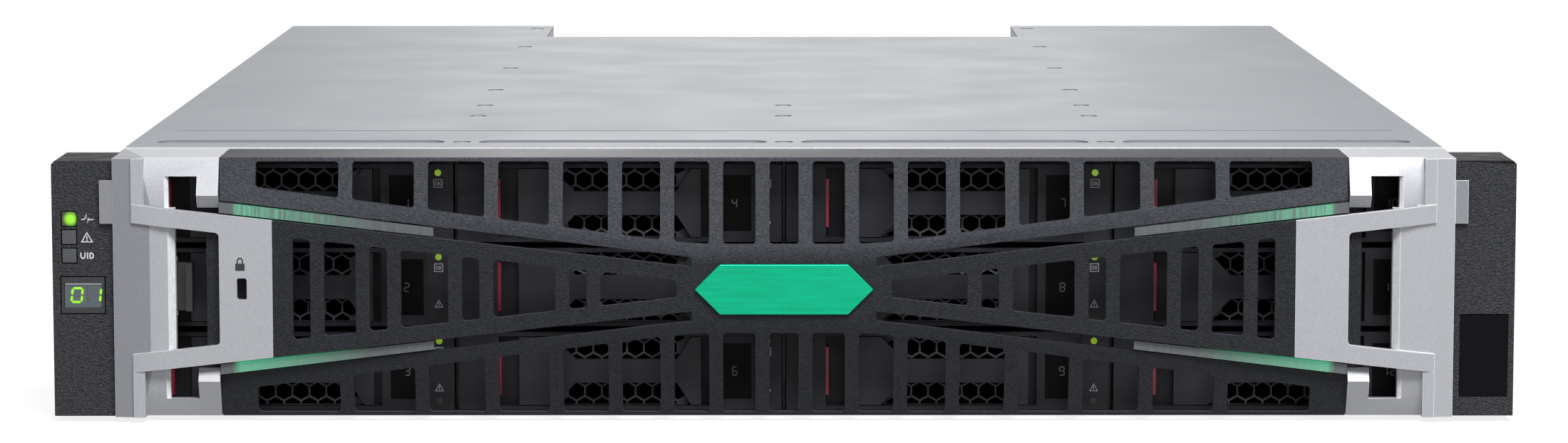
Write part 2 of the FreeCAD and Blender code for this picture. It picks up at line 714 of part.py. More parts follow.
def bow_wing(x_from, x_to, inset=0.0):
    """Outline of the bow tie between two distances from the centre, its edges drawn in by an inset."""
    near = wedge_half(x_from) - inset
    far = wedge_half(x_to) - inset
    return [(x_from, BEZEL_MIDDLE - near), (x_to, BEZEL_MIDDLE - far), (x_to, BEZEL_MIDDLE + far),
            (x_from, BEZEL_MIDDLE + near)]


def grip_front():
    """The grip lies a step behind the arms."""
    return BOW_FRONT + GRIP_SINK


def band_section():
    """The outer band of the rail: from the cap's end it slants forward, in line with the grip's side."""
    slant = (BAND_FRONT - grip_front()) / ARM_INSET
    return [(BEZEL_HALF, RAIL_BACK), (BEZEL_HALF, BAND_FRONT), (RAIL_FLAT, BAND_FRONT - slant * RAIL_CHAMFER),
            (RAIL_FLAT, RAIL_BACK)]


def cap_plate():
    """The arms and the lock panel: the outer end of the bow tie, open in the middle for fingers."""
    back = BOW_FRONT + BEZEL_SKIN
    panel = prism_y(bow_wing(WEDGE_END, ARM_BEND_X), BOW_FRONT, back)
    wing = prism_z([(RAIL_FLAT, RAIL_FLAT_FRONT), (ARM_BEND_X, BOW_FRONT), (ARM_BEND_X, back),
                    (ARM_OUTER, back), (ARM_OUTER, RAIL_BACK), (RAIL_FLAT, RAIL_BACK)], BEZEL_BOTTOM, BEZEL_TOP)
    wing = wing.common(prism_y(bow_wing(ARM_BEND_X, BEZEL_HALF), BOW_FRONT - 1, RAIL_BACK))
    opening = prism_y(bow_wing(FRAME_HALF, BEZEL_HALF + GRIP_RAIL, ARM_WIDTH), BOW_FRONT - 1, RAIL_BACK + 1,
                      GRIP_CORNER)
    return cut(fuse([panel, wing]), [opening])


def cap_upright():
    """The upper part of the outer rail, from the arm to the top."""
    section = [(RAIL_FLAT, RAIL_FLAT_FRONT), (CORNER_END, RAIL_FLAT_FRONT), (CORNER_END, RAIL_BACK),
               (RAIL_FLAT, RAIL_BACK)]
    return prism_z(section, BEZEL_MIDDLE + wedge_half(GRIP_OUTER), BEZEL_TOP)


def cap_corner():
    """The corner panel beside the lattice, leaning back to the top and stepped round its small opening."""
    skin = BEZEL_SKIN
    lean = (EDGE_FRONT - CORNER_FRONT) / (BEZEL_TOP - CORNER_LOW)
    bend_front = EDGE_FRONT - lean * (BEZEL_TOP - PEEP_TOP)
    foot_front = CORNER_FRONT + skin
    inner = prism_x([(EDGE_FRONT, BEZEL_TOP), (CORNER_FRONT, CORNER_LOW), (foot_front, CORNER_FOOT),
                     (foot_front + skin, CORNER_FOOT), (CORNER_FRONT + skin, CORNER_LOW),
                     (EDGE_FRONT + skin, BEZEL_TOP)], FRAME_HALF + FIT, PEEP_INNER)
    outer_section = [(EDGE_FRONT, BEZEL_TOP), (bend_front, PEEP_TOP), (bend_front, CORNER_FOOT - 2 * skin),
                     (RAIL_BACK, CORNER_FOOT - 2 * skin), (RAIL_BACK, BEZEL_TOP)]
    outer = prism_x(outer_section, PEEP_INNER, CORNER_END)
    front = BOW_FRONT - 1
    peep = prism_z([(PEEP_INNER, front), (PEEP_OUTER + PEEP_BEVEL, front),
                    (PEEP_OUTER + PEEP_BEVEL, bend_front), (PEEP_OUTER, bend_front + PEEP_BEVEL),
                    (PEEP_OUTER, RAIL_BACK + 1),
                    (PEEP_INNER, RAIL_BACK + 1)], BEZEL_BOTTOM, PEEP_TOP)
    return fuse([inner, cut(outer, [peep])])


def latch_front():
    return RAIL_BACK + FIT


def bezel_cap():
    """Right end cap: one moulding of arms, rail, corner panels, top and side walls and a locating tab."""
    grip_section = band_section()[:3] + [(ARM_OUTER, grip_front()), (GRIP_OUTER + GRIP_BEVEL, grip_front()),
                                         (GRIP_OUTER, grip_front() + BEZEL_SKIN), (GRIP_OUTER, RAIL_BACK)]
    outer = wedge_half(GRIP_OUTER)
    grip = prism_z(grip_section, BEZEL_MIDDLE - outer, BEZEL_MIDDLE + outer)
    band = prism_z(band_section(), BEZEL_BOTTOM, BEZEL_TOP)
    wall_depth = (RAIL_BACK - 1, BEZEL_BACK)
    side = box((BEZEL_HALF - CAP_SIDE_WALL, wall_depth[0], BEZEL_BOTTOM),
               (BEZEL_HALF, wall_depth[1], BEZEL_TOP))
    roof = box((FRAME_HALF + FIT, EDGE_FRONT, BEZEL_TOP - BEZEL_WALL), (BEZEL_HALF, BEZEL_BACK, BEZEL_TOP))
    sill = box((FRAME_HALF + FIT, EDGE_FRONT, BEZEL_BOTTOM),
               (BEZEL_HALF, RAIL_BACK, BEZEL_BOTTOM + BEZEL_WALL))
    tab_back = -EAR_DEPTH - FIT
    tab = box((RAIL_FLAT, tab_back - TAB_THICK, TAB_LOW), (BEZEL_HALF + TAB_WIDTH, tab_back, TAB_HIGH))
    corner = cap_corner()
    upright = cap_upright()
    pieces = [grip, band, cap_plate(), corner, flipped(corner), upright, flipped(upright), side, roof, sill,
              tab]
    return fuse(pieces)


def bezel_left_cap():
    """The left cap also has the lock slot, and the guides and side slot of the latch."""
    cap = mirrored(bezel_cap())
    half = LATCH_HEIGHT / 2 + FIT
    guide_back = latch_front() + LATCH_THICK
    guide = box((-BEZEL_HALF, RAIL_BACK, BEZEL_MIDDLE + half),
                (-GRIP_OUTER, guide_back, BEZEL_MIDDLE + half + GUIDE_THICK))
    slot = box((-BEZEL_HALF - 1, RAIL_BACK, BEZEL_MIDDLE - half),
               (-BEZEL_HALF + CAP_SIDE_WALL + 1, guide_back + FIT, BEZEL_MIDDLE + half))
    key_corners = [(-LOCK_X + sx * LOCK_WIDTH / 2, BEZEL_MIDDLE + sz * LOCK_HEIGHT / 2)
                   for sx, sz in ((-1, -1), (1, -1), (1, 1), (-1, 1))]
    key = prism_y(key_corners, BOW_FRONT - 1, BOW_FRONT + BEZEL_SKIN + 1, LOCK_WIDTH / 4)
    return cut(fuse([cap, guide, flipped(guide)]), [slot, key])


def bezel_latch():
    """A flat slide behind the left rail. Its tongue goes through the cap's side into the ear."""
    front = latch_front()
    half = LATCH_HEIGHT / 2
    finger_start = -GRIP_OUTER + LATCH_TRAVEL + FIT
    finger_end = finger_start + LATCH_FINGER
    tongue = box((-BEZEL_HALF + FIT, front, BEZEL_MIDDLE - half),
                 (finger_end, front + LATCH_THICK, BEZEL_MIDDLE + half))
    finger = box((finger_start, front - LATCH_THICK, BEZEL_MIDDLE - half),
                 (finger_end, front + LATCH_THICK, BEZEL_MIDDLE + half))
    return fuse([tongue, finger])


# Drive bays

def column_left(column):
    """Left end of the carriers in a column."""
    boundary = (column - COLUMNS / 2) * COLUMN_PITCH
    return boundary + (COLUMN_PITCH - CARRIER_WIDTH) / 2


def row_bottom(row):
    return ROW_BOTTOM + row * ROW_PITCH


def drive_cage():
    """Dividers and side plates, each with ledges that the carriers run on."""
    plates = []
    side_inner = HALF_BODY - SHEET
    nose_top = BEZEL_TOP - RAIL_VISIBLE - 2 * FIT
    for boundary in range(COLUMNS + 1):
        x = (boundary - COLUMNS / 2) * COLUMN_PITCH
        left = x - DIVIDER / 2
        right = x + DIVIDER / 2
        if boundary == 0:
            left = -side_inner
        if boundary == COLUMNS:
            right = side_inner
        pieces = [box((left, SHEET_FRONT, SHEET), (right, MIDPLANE_FRONT, COVER_BOTTOM))]
        if boundary not in (0, COLUMNS):
            pieces.append(box((left, CAGE_FRONT, SHEET), (right, SHEET_FRONT, nose_top)))
        ledge_left = max(x - DIVIDER / 2 - LEDGE_REACH, -side_inner)
        ledge_right = min(x + DIVIDER / 2 + LEDGE_REACH, side_inner)
        for row in range(1, ROWS):
            top = row_bottom(row) - FIT
            bottom = row_bottom(row) - ROW_GAP + FIT
            pieces.append(box((ledge_left, SHEET_FRONT, bottom), (ledge_right, MIDPLANE_FRONT, top)))
        plates.append(fuse(pieces))
    return group(plates)


def hexagon(x, z, across, y_from, y_to):
    """A six-sided bar along Y with a corner at the top."""
    radius = across / math.sqrt(3)
    corners = [(x + radius * math.sin(math.radians(60 * i)), z + radius * math.cos(math.radians(60 * i)))
               for i in range(6)]
    return prism_y(corners, y_from, y_to)


def vent_holes(y_from, y_to):
    """A honeycomb behind the lever's bar. Its outer rows are cut off by the carrier's walls."""
    panel = box((0, y_from, FACE_WALL), (CARRIER_WIDTH, y_to, CARRIER_HEIGHT - FACE_WALL))
    rise = HEX_PITCH * math.sqrt(3) / 2
    middle_x = (LEVER_TAPER_START + LEVER_FLARE_END) / 2
    holes = []
    for row in range(HEX_ROWS):
        z = CARRIER_HEIGHT / 2 + (row - (HEX_ROWS - 1) / 2) * rise
        shift = HEX_PITCH / 2 * (row % 2) - HEX_PITCH / 4
        for column in range(HEX_COLUMNS):
            x = middle_x + (column - (HEX_COLUMNS - 1) / 2) * HEX_PITCH + shift
            holes.append(hexagon(x, z, HEX_PITCH - HEX_WEB, y_from, y_to).common(panel))
    return holes


def carrier_face():
    """A hollow front with a sunk middle for the lever, a finger recess, a honeycomb and a label panel."""
    back = CARRIER_FRONT + FACE_DEPTH
    sunk = CARRIER_FRONT + LEVER_PLATE_BACK
    block = box((0, CARRIER_FRONT, 0), (CARRIER_WIDTH, back, CARRIER_HEIGHT))
    inside_top = CARRIER_HEIGHT - FACE_WALL
    hollow = box((FACE_WALL, sunk + FACE_SKIN, FACE_WALL), (CARRIER_WIDTH - FACE_WALL, back + 1, inside_top))
    lever_room = box((FINGER_END, CARRIER_FRONT - 1, FACE_WALL), (LABEL_PANEL, sunk, inside_top))
    finger_room = box((LEFT_PANEL, CARRIER_FRONT - 1, FACE_WALL), (FINGER_END + 1, sunk, inside_top))
    label = box((LABEL_START, CARRIER_FRONT - 1, (CARRIER_HEIGHT - LABEL_HEIGHT) / 2),
                (LABEL_START + LABEL_WIDTH, CARRIER_FRONT + LABEL_THICK, (CARRIER_HEIGHT + LABEL_HEIGHT) / 2))
    groove = box((LIGHT_STRIP, CARRIER_FRONT - 1, -1),
                 (LIGHT_STRIP + LABEL_THICK, CARRIER_FRONT + LABEL_THICK, CARRIER_HEIGHT + 1))
    pipes = [rod(PIPE_RADIUS, (PIPE_X, CARRIER_FRONT - 1, z), (PIPE_X, back, z)) for z in pipe_heights()]
    stubs = rod(STUB_RADIUS + STUB_CLEARANCE, (PIVOT_X, pivot_y(), FACE_WALL - STUB_LENGTH - FIT),
                (PIVOT_X, pivot_y(), inside_top + STUB_LENGTH + FIT))
    return cut(block, [hollow, lever_room, finger_room, label, groove, stubs] + pipes
               + vent_holes(sunk - 1, sunk + FACE_SKIN + 1))


def pivot_y():
    """The lever turns about a line behind its front face, clear of the sunk panel."""
    return CARRIER_FRONT + LEVER_PLATE_BACK - PIVOT_RADIUS - FIT


def pipe_heights():
    return (PIPE_FROM_TOP, CARRIER_HEIGHT - PIPE_FROM_TOP)


def drive_carrier():
    """One carrier: face with side rails, disk, label, release catch and two light pipes."""
    back = CARRIER_FRONT + FACE_DEPTH
    rail = box((0, back - 1, 0), (TRAY_RAIL, DISK_REAR, RAIL_HEIGHT))
    other = box((CARRIER_WIDTH - TRAY_RAIL, back - 1, 0), (CARRIER_WIDTH, DISK_REAR, RAIL_HEIGHT))
    disk = box((TRAY_RAIL, DISK_REAR - DISK_LENGTH, 0), (CARRIER_WIDTH - TRAY_RAIL, DISK_REAR, DISK_HEIGHT))
    label = box((LABEL_START, CARRIER_FRONT, (CARRIER_HEIGHT - LABEL_HEIGHT) / 2),
                (LABEL_START + LABEL_WIDTH, CARRIER_FRONT + LABEL_THICK, (CARRIER_HEIGHT + LABEL_HEIGHT) / 2))
    catch_low = (CARRIER_HEIGHT - CATCH_HEIGHT) / 2
    catch = box((LEFT_PANEL, CARRIER_FRONT, catch_low),
                (LEFT_PANEL + CATCH_WIDTH, CARRIER_FRONT + LEVER_PLATE_BACK, catch_low + CATCH_HEIGHT))
    pipes = [rod(PIPE_RADIUS, (PIPE_X, CARRIER_FRONT, z), (PIPE_X, CARRIER_FRONT + PIPE_LENGTH, z))
             for z in pipe_heights()]
    return group([fuse([carrier_face(), rail, other]), disk, label, catch] + pipes)


def drive_lever():
    """A wide finger end, a narrow bar and a wide hinge end, turning on two stubs in the face's walls."""
    low = FACE_WALL + FIT
    high = CARRIER_HEIGHT - FACE_WALL - FIT
    bar_low = (CARRIER_HEIGHT - LEVER_BAR) / 2
    bar_high = (CARRIER_HEIGHT + LEVER_BAR) / 2
    start = FINGER_END + FIT
    corners = [(start, low), (LEVER_TAPER_START, low), (LEVER_TAPER_END, bar_low),
               (LEVER_FLARE_START, bar_low),
               (LEVER_FLARE_END, low), (LEVER_END, low), (LEVER_END, high), (LEVER_FLARE_END, high),
               (LEVER_FLARE_START, bar_high), (LEVER_TAPER_END, bar_high), (LEVER_TAPER_START, high),
               (start, high)]
    plate = prism_y(corners, CARRIER_FRONT, CARRIER_FRONT + LEVER_THICK)
    barrel = rod(PIVOT_RADIUS, (PIVOT_X, pivot_y(), low), (PIVOT_X, pivot_y(), high))
    stub = rod(STUB_RADIUS, (PIVOT_X, pivot_y(), FACE_WALL - STUB_LENGTH),
               (PIVOT_X, pivot_y(), CARRIER_HEIGHT - FACE_WALL + STUB_LENGTH))
    return fuse([plate, barrel, stub])


def in_bay(shape, column, row):
    """A carrier piece moved to its bay."""
    placed = shape.copy()
    placed.translate(Vector(column_left(column), 0, row_bottom(row)))
    return placed


# Midplane

def midplane():
    """A board across the enclosure behind the drives, with air slots between the plugs."""
    margin = SHEET + 1
    board = box((-HALF_BODY + SHEET + DIVIDER, MIDPLANE_FRONT, margin),
                (HALF_BODY - SHEET - DIVIDER, MIDPLANE_FRONT + MIDPLANE_THICK, COVER_BOTTOM - 1))
    slots = []
    for column in range(COLUMNS):
        middle = column_left(column) + CARRIER_WIDTH / 2
        for row in range(ROWS):
            z = row_bottom(row) + CARRIER_HEIGHT / 2
            for side in (-1, 1):
                slots.append(panel_block(middle + side * 0.75 * PLUG_WIDTH, z, PLUG_WIDTH / 3,
                                         1.5 * PLUG_HEIGHT,
                                         MIDPLANE_FRONT - 1, MIDPLANE_FRONT + MIDPLANE_THICK + 1))
    return cut(board, slots)


def midplane_connectors():
    """Drive plugs on the front of the midplane, canister and supply plugs on its back."""
    plugs = []
    for column in range(COLUMNS):
        middle = column_left(column) + CARRIER_WIDTH / 2
        for row in range(ROWS):
            z = row_bottom(row) + CARRIER_HEIGHT / 2
            plugs.append(panel_block(middle, z, PLUG_WIDTH, PLUG_HEIGHT, DISK_REAR + FIT, MIDPLANE_FRONT))
    rear = (MIDPLANE_FRONT + MIDPLANE_THICK, MIDPLANE_FRONT + MIDPLANE_THICK + REAR_PLUG_DEPTH)
    for index in range(2):
        z = canister_bottom(index) + canister_height() / 2
        plugs.append(panel_block(0, z, 2 * PLUG_WIDTH, PLUG_HEIGHT, *rear))
    supply = panel_block(psu_middle(), BODY_HEIGHT / 4, PLUG_WIDTH, PLUG_HEIGHT, *rear)
    return group(plugs + both_sides(supply))


# Controller canisters

def canister_bottom(index):
    if index == 0:
        return SHEET + FIT
    return shelf_bottom() + SHELF + FIT


def canister_half():
    return NOTCH_HALF - FIT


def canister_front():
    return bay_front() + CANISTER_CLEARANCE


def ports():
    """Centre, width and height of every socket on a canister's rear face."""
    rows = [(PORT_FIRST_X + i * PORT_PITCH, PORT_WIDTH, PORT_HEIGHT) for i in range(PORT_COUNT)]
    rows.append((MINI_PORT_X, MINI_PORT_WIDTH, PORT_HEIGHT))
    rows.append((LAN_PORT_X, LAN_PORT_WIDTH, LAN_PORT_HEIGHT))
    return rows


def port_floor():
    """Height of the sockets' lower edge above the canister's bottom."""
    return BOARD_LIFT + BOARD_THICK + PORT_WALL


def canister_case():
    """A sheet box with standoffs, a rear face pierced by the sockets, and lugs for two ejectors."""
    half = canister_half()
    height = canister_height()
    front = canister_front()
    shell = box((-half, front, 0), (half, NOTCH_FRONT, height))
    room = box((-half + CANISTER_WALL, front + CANISTER_WALL, CANISTER_WALL),
               (half - CANISTER_WALL, NOTCH_FRONT - CANISTER_FLANGE, height - CANISTER_WALL))
    plug = panel_block(0, height / 2, 2 * PLUG_WIDTH + 2 * FIT, PLUG_HEIGHT + 2 * FIT, front - 1, front + 2)
    tools = [room, plug]
    for x, width, tall in ports():
        tools.append(box((x - width / 2, NOTCH_FRONT - CANISTER_FLANGE - 1, port_floor()),
                         (x + width / 2, NOTCH_FRONT + 1, port_floor() + tall)))
    for i in range(VENT_COUNT):
        x = (i - (VENT_COUNT - 1) / 2) * VENT_PITCH
        tools.append(panel_block(x, height - VENT_DROP, VENT_WIDTH, VENT_HEIGHT,
                                 NOTCH_FRONT - CANISTER_FLANGE - 1, NOTCH_FRONT + 1))
    posts = []
    for x in (-half * 0.85, half * 0.85):
        for y in (front + STANDOFF_INSET, NOTCH_FRONT - STANDOFF_INSET):
            posts.append(rod(STANDOFF_RADIUS, (x, y, CANISTER_WALL / 2), (x, y, BOARD_LIFT)))
    lugs = []
    lug_depth = EJECTOR_THICK + FIT
    for side in (-1, 1):
        x = side * (half - EJECTOR_PIVOT_IN)
        for z in (ejector_low() - FIT - LUG_THICK, ejector_low() + EJECTOR_HEIGHT + FIT):
            lugs.append(panel_block(x, z + LUG_THICK / 2, 2 * EJECTOR_PIN + 2, LUG_THICK,
                                    NOTCH_FRONT - 1, NOTCH_FRONT + lug_depth))
    holes = [rod(EJECTOR_PIN + STUB_CLEARANCE, (side * (half - EJECTOR_PIVOT_IN), ejector_y(), -1),
                 (side * (half - EJECTOR_PIVOT_IN), ejector_y(), height + 1)) for side in (-1, 1)]
    return cut(fuse([cut(shell, tools)] + posts + lugs), holes)


def ejector_low():
    return (canister_height() - EJECTOR_HEIGHT) / 2


def ejector_y():
    """The ejectors turn about pins just behind the rear face."""
    return NOTCH_FRONT + FIT + EJECTOR_THICK / 2


def ejector(side):
    """One lever of a canister, with its pin. It lies flat on the rear face and swings outwards."""
    pivot = side * (canister_half() - EJECTOR_PIVOT_IN)
    tip = pivot - side * EJECTOR_LENGTH
    low = ejector_low()
    bar = box((min(pivot, tip), NOTCH_FRONT + FIT, low), (max(pivot, tip), NOTCH_FRONT + FIT + EJECTOR_THICK,
                                                        low + EJECTOR_HEIGHT))
    knuckle = rod(EJECTOR_THICK / 2, (pivot, ejector_y(), low), (pivot, ejector_y(), low + EJECTOR_HEIGHT))
    reach = FIT + LUG_THICK
    pin = rod(EJECTOR_PIN, (pivot, ejector_y(), low - reach),
              (pivot, ejector_y(), low + EJECTOR_HEIGHT + reach))
    return fuse([bar, knuckle, pin])


def canister_board():
    """Circuit board on the standoffs, with socket cages, a finned heat sink and memory modules."""
    half = canister_half() - CANISTER_WALL - 1
    front = canister_front() + CANISTER_WALL + 1
    back = NOTCH_FRONT - CANISTER_FLANGE
    top = BOARD_LIFT + BOARD_THICK
    board = box((-half, front, BOARD_LIFT), (half, back, top))
    pieces = [board]
    for x, width, tall in ports():
        cage = box((x - width / 2 - PORT_WALL, back - PORT_DEPTH, top),
                   (x + width / 2 + PORT_WALL, back, top + tall + 2 * PORT_WALL))
        hole = box((x - width / 2, back - PORT_DEPTH + PORT_WALL, port_floor()),
                   (x + width / 2, back + 1, port_floor() + tall))
        pieces.append(cut(cage, [hole]))
    middle = (front + back) / 2
    sink = box((-SINK_SIZE / 2, middle - SINK_SIZE / 2, top),
               (SINK_SIZE / 2, middle + SINK_SIZE / 2, top + SINK_HEIGHT))
    fins = int(SINK_SIZE / (3 * SINK_FIN))
    gaps = [box((-SINK_SIZE / 2 + SINK_FIN + i * 3 * SINK_FIN, middle - SINK_SIZE, top + SINK_FIN),
                (-SINK_SIZE / 2 + 3 * SINK_FIN + i * 3 * SINK_FIN, middle + SINK_SIZE, top + SINK_HEIGHT + 1))
            for i in range(fins - 1)]
    pieces.append(cut(sink, gaps))
    for i in range(4):
        x = SINK_SIZE / 2 + 12 + i * 8
        pieces.append(box((x, middle - MODULE_LENGTH / 2, top),
                          (x + BOARD_THICK, middle + MODULE_LENGTH / 2, top + SINK_HEIGHT)))
    return group(pieces)


def on_level(shape, index):
    """A canister piece moved to the lower or upper bay."""
    placed = shape.copy()
    placed.translate(Vector(0, 0, canister_bottom(index)))
    return placed


# Power supplies, modelled for the right bay

def psu_inner():
    return NOTCH_HALF + SHEET + FIT


def psu_outer():
    return HALF_BODY - SHEET - FIT


def psu_middle():
    return (psu_inner() + psu_outer()) / 2


def psu_bottom():
    return SHEET + FIT


def psu_top():
    return COVER_BOTTOM - FIT


def fan_centre():
    return psu_middle() - FAN_X, (psu_bottom() + psu_top()) / 2 - 4


def ring(centre, radius, y_from, y_to):
    """A thin annular tool of the grille."""
    x, z = centre
    outer = rod(radius, (x, y_from, z), (x, y_to, z))
    inner = rod(radius - FAN_RADIUS / GRILLE_RINGS + GRILLE_BAR, (x, y_from, z), (x, y_to, z))
    return outer.cut(inner)


def grille_tools(centre, y_from, y_to):
    """Ring-shaped openings, interrupted by spokes."""
    x, z = centre
    step = FAN_RADIUS / GRILLE_RINGS
    rings = [ring(centre, step * (i + 1), y_from, y_to) for i in range(1, GRILLE_RINGS)]
    spokes = []
    for i in range(GRILLE_SPOKES // 2):
        spoke = panel_block(x, z, 2 * FAN_RADIUS + 2, GRILLE_BAR, y_from, y_to)
        spoke.rotate(Vector(x, 0, z), Vector(0, 1, 0), i * 360 / GRILLE_SPOKES)
        spokes.append(spoke)
    return [cut(opening, spokes) for opening in rings]


def psu_case():
    """A sheet box with a grille, a mains inlet, a switch well, handle lugs and the fan's motor post."""
    low = (psu_inner(), bay_front() + PSU_CLEARANCE, psu_bottom())
    high = (psu_outer(), BODY_REAR, psu_top())
    inside = box([a + PSU_WALL for a in low], [b - PSU_WALL for b in high])
    x, z = fan_centre()
    inner_face = BODY_REAR - PSU_WALL
    tools = [inside] + grille_tools((x, z), inner_face - 1, BODY_REAR + 1)
    plug = panel_block(psu_middle(), BODY_HEIGHT / 4, PLUG_WIDTH + 2 * FIT, PLUG_HEIGHT + 2 * FIT,
                       low[1] - 1, low[1] + PSU_WALL + 1)
    inlet_x = psu_middle() + INLET_X
    well_wall = PSU_WALL
    inlet_box = panel_block(inlet_x, INLET_Z, INLET_WIDTH + 2 * well_wall, INLET_HEIGHT + 2 * well_wall,
                            BODY_REAR - INLET_DEPTH - well_wall, BODY_REAR)
    inlet_room = panel_block(inlet_x, INLET_Z, INLET_WIDTH, INLET_HEIGHT, BODY_REAR - INLET_DEPTH,
                             BODY_REAR + 1)
    switch_room = panel_block(inlet_x, SWITCH_Z, SWITCH_WIDTH, SWITCH_HEIGHT, BODY_REAR - 2 * SWITCH_DEPTH,
                              BODY_REAR + 1)
    switch_box = panel_block(inlet_x, SWITCH_Z, SWITCH_WIDTH + 2 * well_wall, SWITCH_HEIGHT + 2 * well_wall,
                             BODY_REAR - 2 * SWITCH_DEPTH - well_wall, BODY_REAR)
    wall_y = BODY_REAR - FAN_DEPTH - 3 * PSU_WALL
    bracket = panel_block(x, z, 2 * FAN_RADIUS, 3 * MOTOR_PIN, wall_y - PSU_WALL, wall_y)
    bracket_legs = [box((x + side * FAN_RADIUS - side * PSU_WALL - PSU_WALL, wall_y - PSU_WALL, psu_bottom()),
                        (x + side * FAN_RADIUS - side * PSU_WALL + PSU_WALL, wall_y, z)) for side in (-1, 1)]
    post = rod(MOTOR_PIN, (x, wall_y - PSU_WALL, z), (x, inner_face - FIT, z))
    pins = [panel_block(inlet_x + dx * INLET_WIDTH / 4, INLET_Z + dz, INLET_PIN / 2, INLET_PIN,
                        BODY_REAR - INLET_DEPTH - 1, BODY_REAR - INLET_DEPTH / 3)
            for dx, dz in ((-1, -INLET_PIN / 2), (0, INLET_PIN / 2), (1, -INLET_PIN / 2))]
    lugs = []
    holes = []
    for side in (-1, 1):
        lug_x = x + side * (HANDLE_SPAN / 2 + HANDLE_ROD + FIT + LUG_THICK / 2)
        lugs.append(panel_block(lug_x, HANDLE_PIVOT_Z, LUG_THICK, 2 * LUG_RADIUS,
                                BODY_REAR - 0.5, BODY_REAR + HANDLE_PIVOT_BEHIND + LUG_RADIUS))
        holes.append(rod(HANDLE_ROD / 2 + STUB_CLEARANCE, (lug_x - LUG_THICK, handle_y(), HANDLE_PIVOT_Z),
                         (lug_x + LUG_THICK, handle_y(), HANDLE_PIVOT_Z)))
    pivots = [rod(EJECTOR_PIN, (inlet_x + side * (SWITCH_WIDTH / 2 + 0.5), switch_y(), SWITCH_Z),
                  (inlet_x + side * (SWITCH_WIDTH / 2 - 1), switch_y(), SWITCH_Z)) for side in (-1, 1)]
    shell = cut(box(low, high), tools + [plug])
    body = fuse([shell, inlet_box, switch_box, bracket, post] + bracket_legs + lugs)
    return fuse([cut(body, [inlet_room, switch_room] + holes)] + pins + pivots)


def handle_y():
    return BODY_REAR + HANDLE_PIVOT_BEHIND


def switch_y():
    """The rocker's axis lies inside its well."""
    return BODY_REAR - SWITCH_DEPTH / 2


def psu_fan():
    """Fan rotor: a hub on the motor post with twisted blades."""
    x, z = fan_centre()
    back = BODY_REAR - PSU_WALL - 2 * FIT - 1
    front = back - FAN_DEPTH + PSU_WALL
    hub = rod(FAN_HUB, (x, front, z), (x, back, z))
    blades = []
    tip = FAN_RADIUS - 1
    for i in range(FAN_BLADES):
        blade = box((x - BLADE_THICK / 2, front + 1, z + FAN_HUB - 1.5),
                    (x + BLADE_THICK / 2, back - 1, z + tip))
        blade.rotate(Vector(x, (front + back) / 2, z), Vector(0, 0, 1), BLADE_TWIST)
        blade.rotate(Vector(x, 0, z), Vector(0, 1, 0), i * 360 / FAN_BLADES)
        blades.append(blade)
    bore = rod(MOTOR_PIN + STUB_CLEARANCE, (x, front - 1, z), (x, back + 1, z))
    return cut(fuse([hub] + blades), [bore])


def psu_handle():
    """A bail that turns in the two lugs and stands straight out of the rear."""
    x = fan_centre()[0]
    z = HANDLE_PIVOT_Z
    reach = REAR_REACH - HANDLE_ROD
    arm_x = HANDLE_SPAN / 2
    grip = rod(HANDLE_ROD, (x - arm_x, reach, z), (x + arm_x, reach, z))
    pieces = [grip]
    for side in (-1, 1):
        pieces.append(rod(HANDLE_ROD, (x + side * arm_x, handle_y(), z), (x + side * arm_x, reach, z)))
        pieces.append(Part.makeSphere(HANDLE_ROD, Vector(x + side * arm_x, reach, z)))
        pieces.append(Part.makeSphere(HANDLE_ROD, Vector(x + side * arm_x, handle_y(), z)))
        end = arm_x + HANDLE_ROD + FIT + LUG_THICK
        pieces.append(rod(HANDLE_ROD / 2, (x + side * arm_x, handle_y(), z), (x + side * end, handle_y(), z)))
    return fuse(pieces)


def psu_switch():
    """A rocker with two sloping halves, hung on the well's pivots."""
    x = psu_middle() + INLET_X
    half = SWITCH_HEIGHT / 2 - SWITCH_FRAME
    y = switch_y()
    section = [(y, SWITCH_Z - half), (BODY_REAR + 1.5, SWITCH_Z - half), (BODY_REAR + 0.5, SWITCH_Z),
               (BODY_REAR + 1.5, SWITCH_Z + half), (y, SWITCH_Z + half), (y - SWITCH_FRAME, SWITCH_Z)]
    width = SWITCH_WIDTH / 2 - FIT
    rocker = prism_x(section, x - width, x + width)
    bores = [rod(EJECTOR_PIN + STUB_CLEARANCE, (x + side * (SWITCH_WIDTH / 2 + 1), y, SWITCH_Z),
                 (x + side * (SWITCH_WIDTH / 2 - 1 - FIT), y, SWITCH_Z)) for side in (-1, 1)]
    return cut(rocker, bores)


def main():
    os.makedirs("parts", exist_ok=True)
    singles = (chassis_base, top_cover, chassis_fasteners, rack_flanges, left_ear_cover, right_ear_cover,
               info_plate, ops_display, status_lights, uid_button, bezel_frame, bezel_light_bars, bezel_badge,
               bezel_left_cap, bezel_latch, drive_cage, midplane, midplane_connectors)
    for make in singles:
        save(make.__name__, make())
    save("bezel_right_cap", bezel_cap())
    carrier = drive_carrier()
    lever = drive_lever()
    for column in range(COLUMNS):
        for row in range(ROWS):
            name = "drive_%02d" % (column * ROWS + ROWS - row)
            save(name + "_carrier", in_bay(carrier, column, row))
            save(name + "_lever", in_bay(lever, column, row))
    case = canister_case()
    board = canister_board()
    for index, level in enumerate(("lower", "upper")):
        name = "controller_" + level
        save(name + "_case", on_level(case, index))
        save(name + "_board", on_level(board, index))
        save(name + "_left_ejector", on_level(ejector(-1), index))
        save(name + "_right_ejector", on_level(ejector(1), index))
    for piece in (psu_case, psu_fan, psu_handle, psu_switch):
        part = piece.__name__.replace("psu_", "")
        right = piece()
        left = right.copy()
        left.translate(Vector(-2 * psu_middle(), 0, 0))
        save("power_right_" + part, right)
        save("power_left_" + part, left)


main()
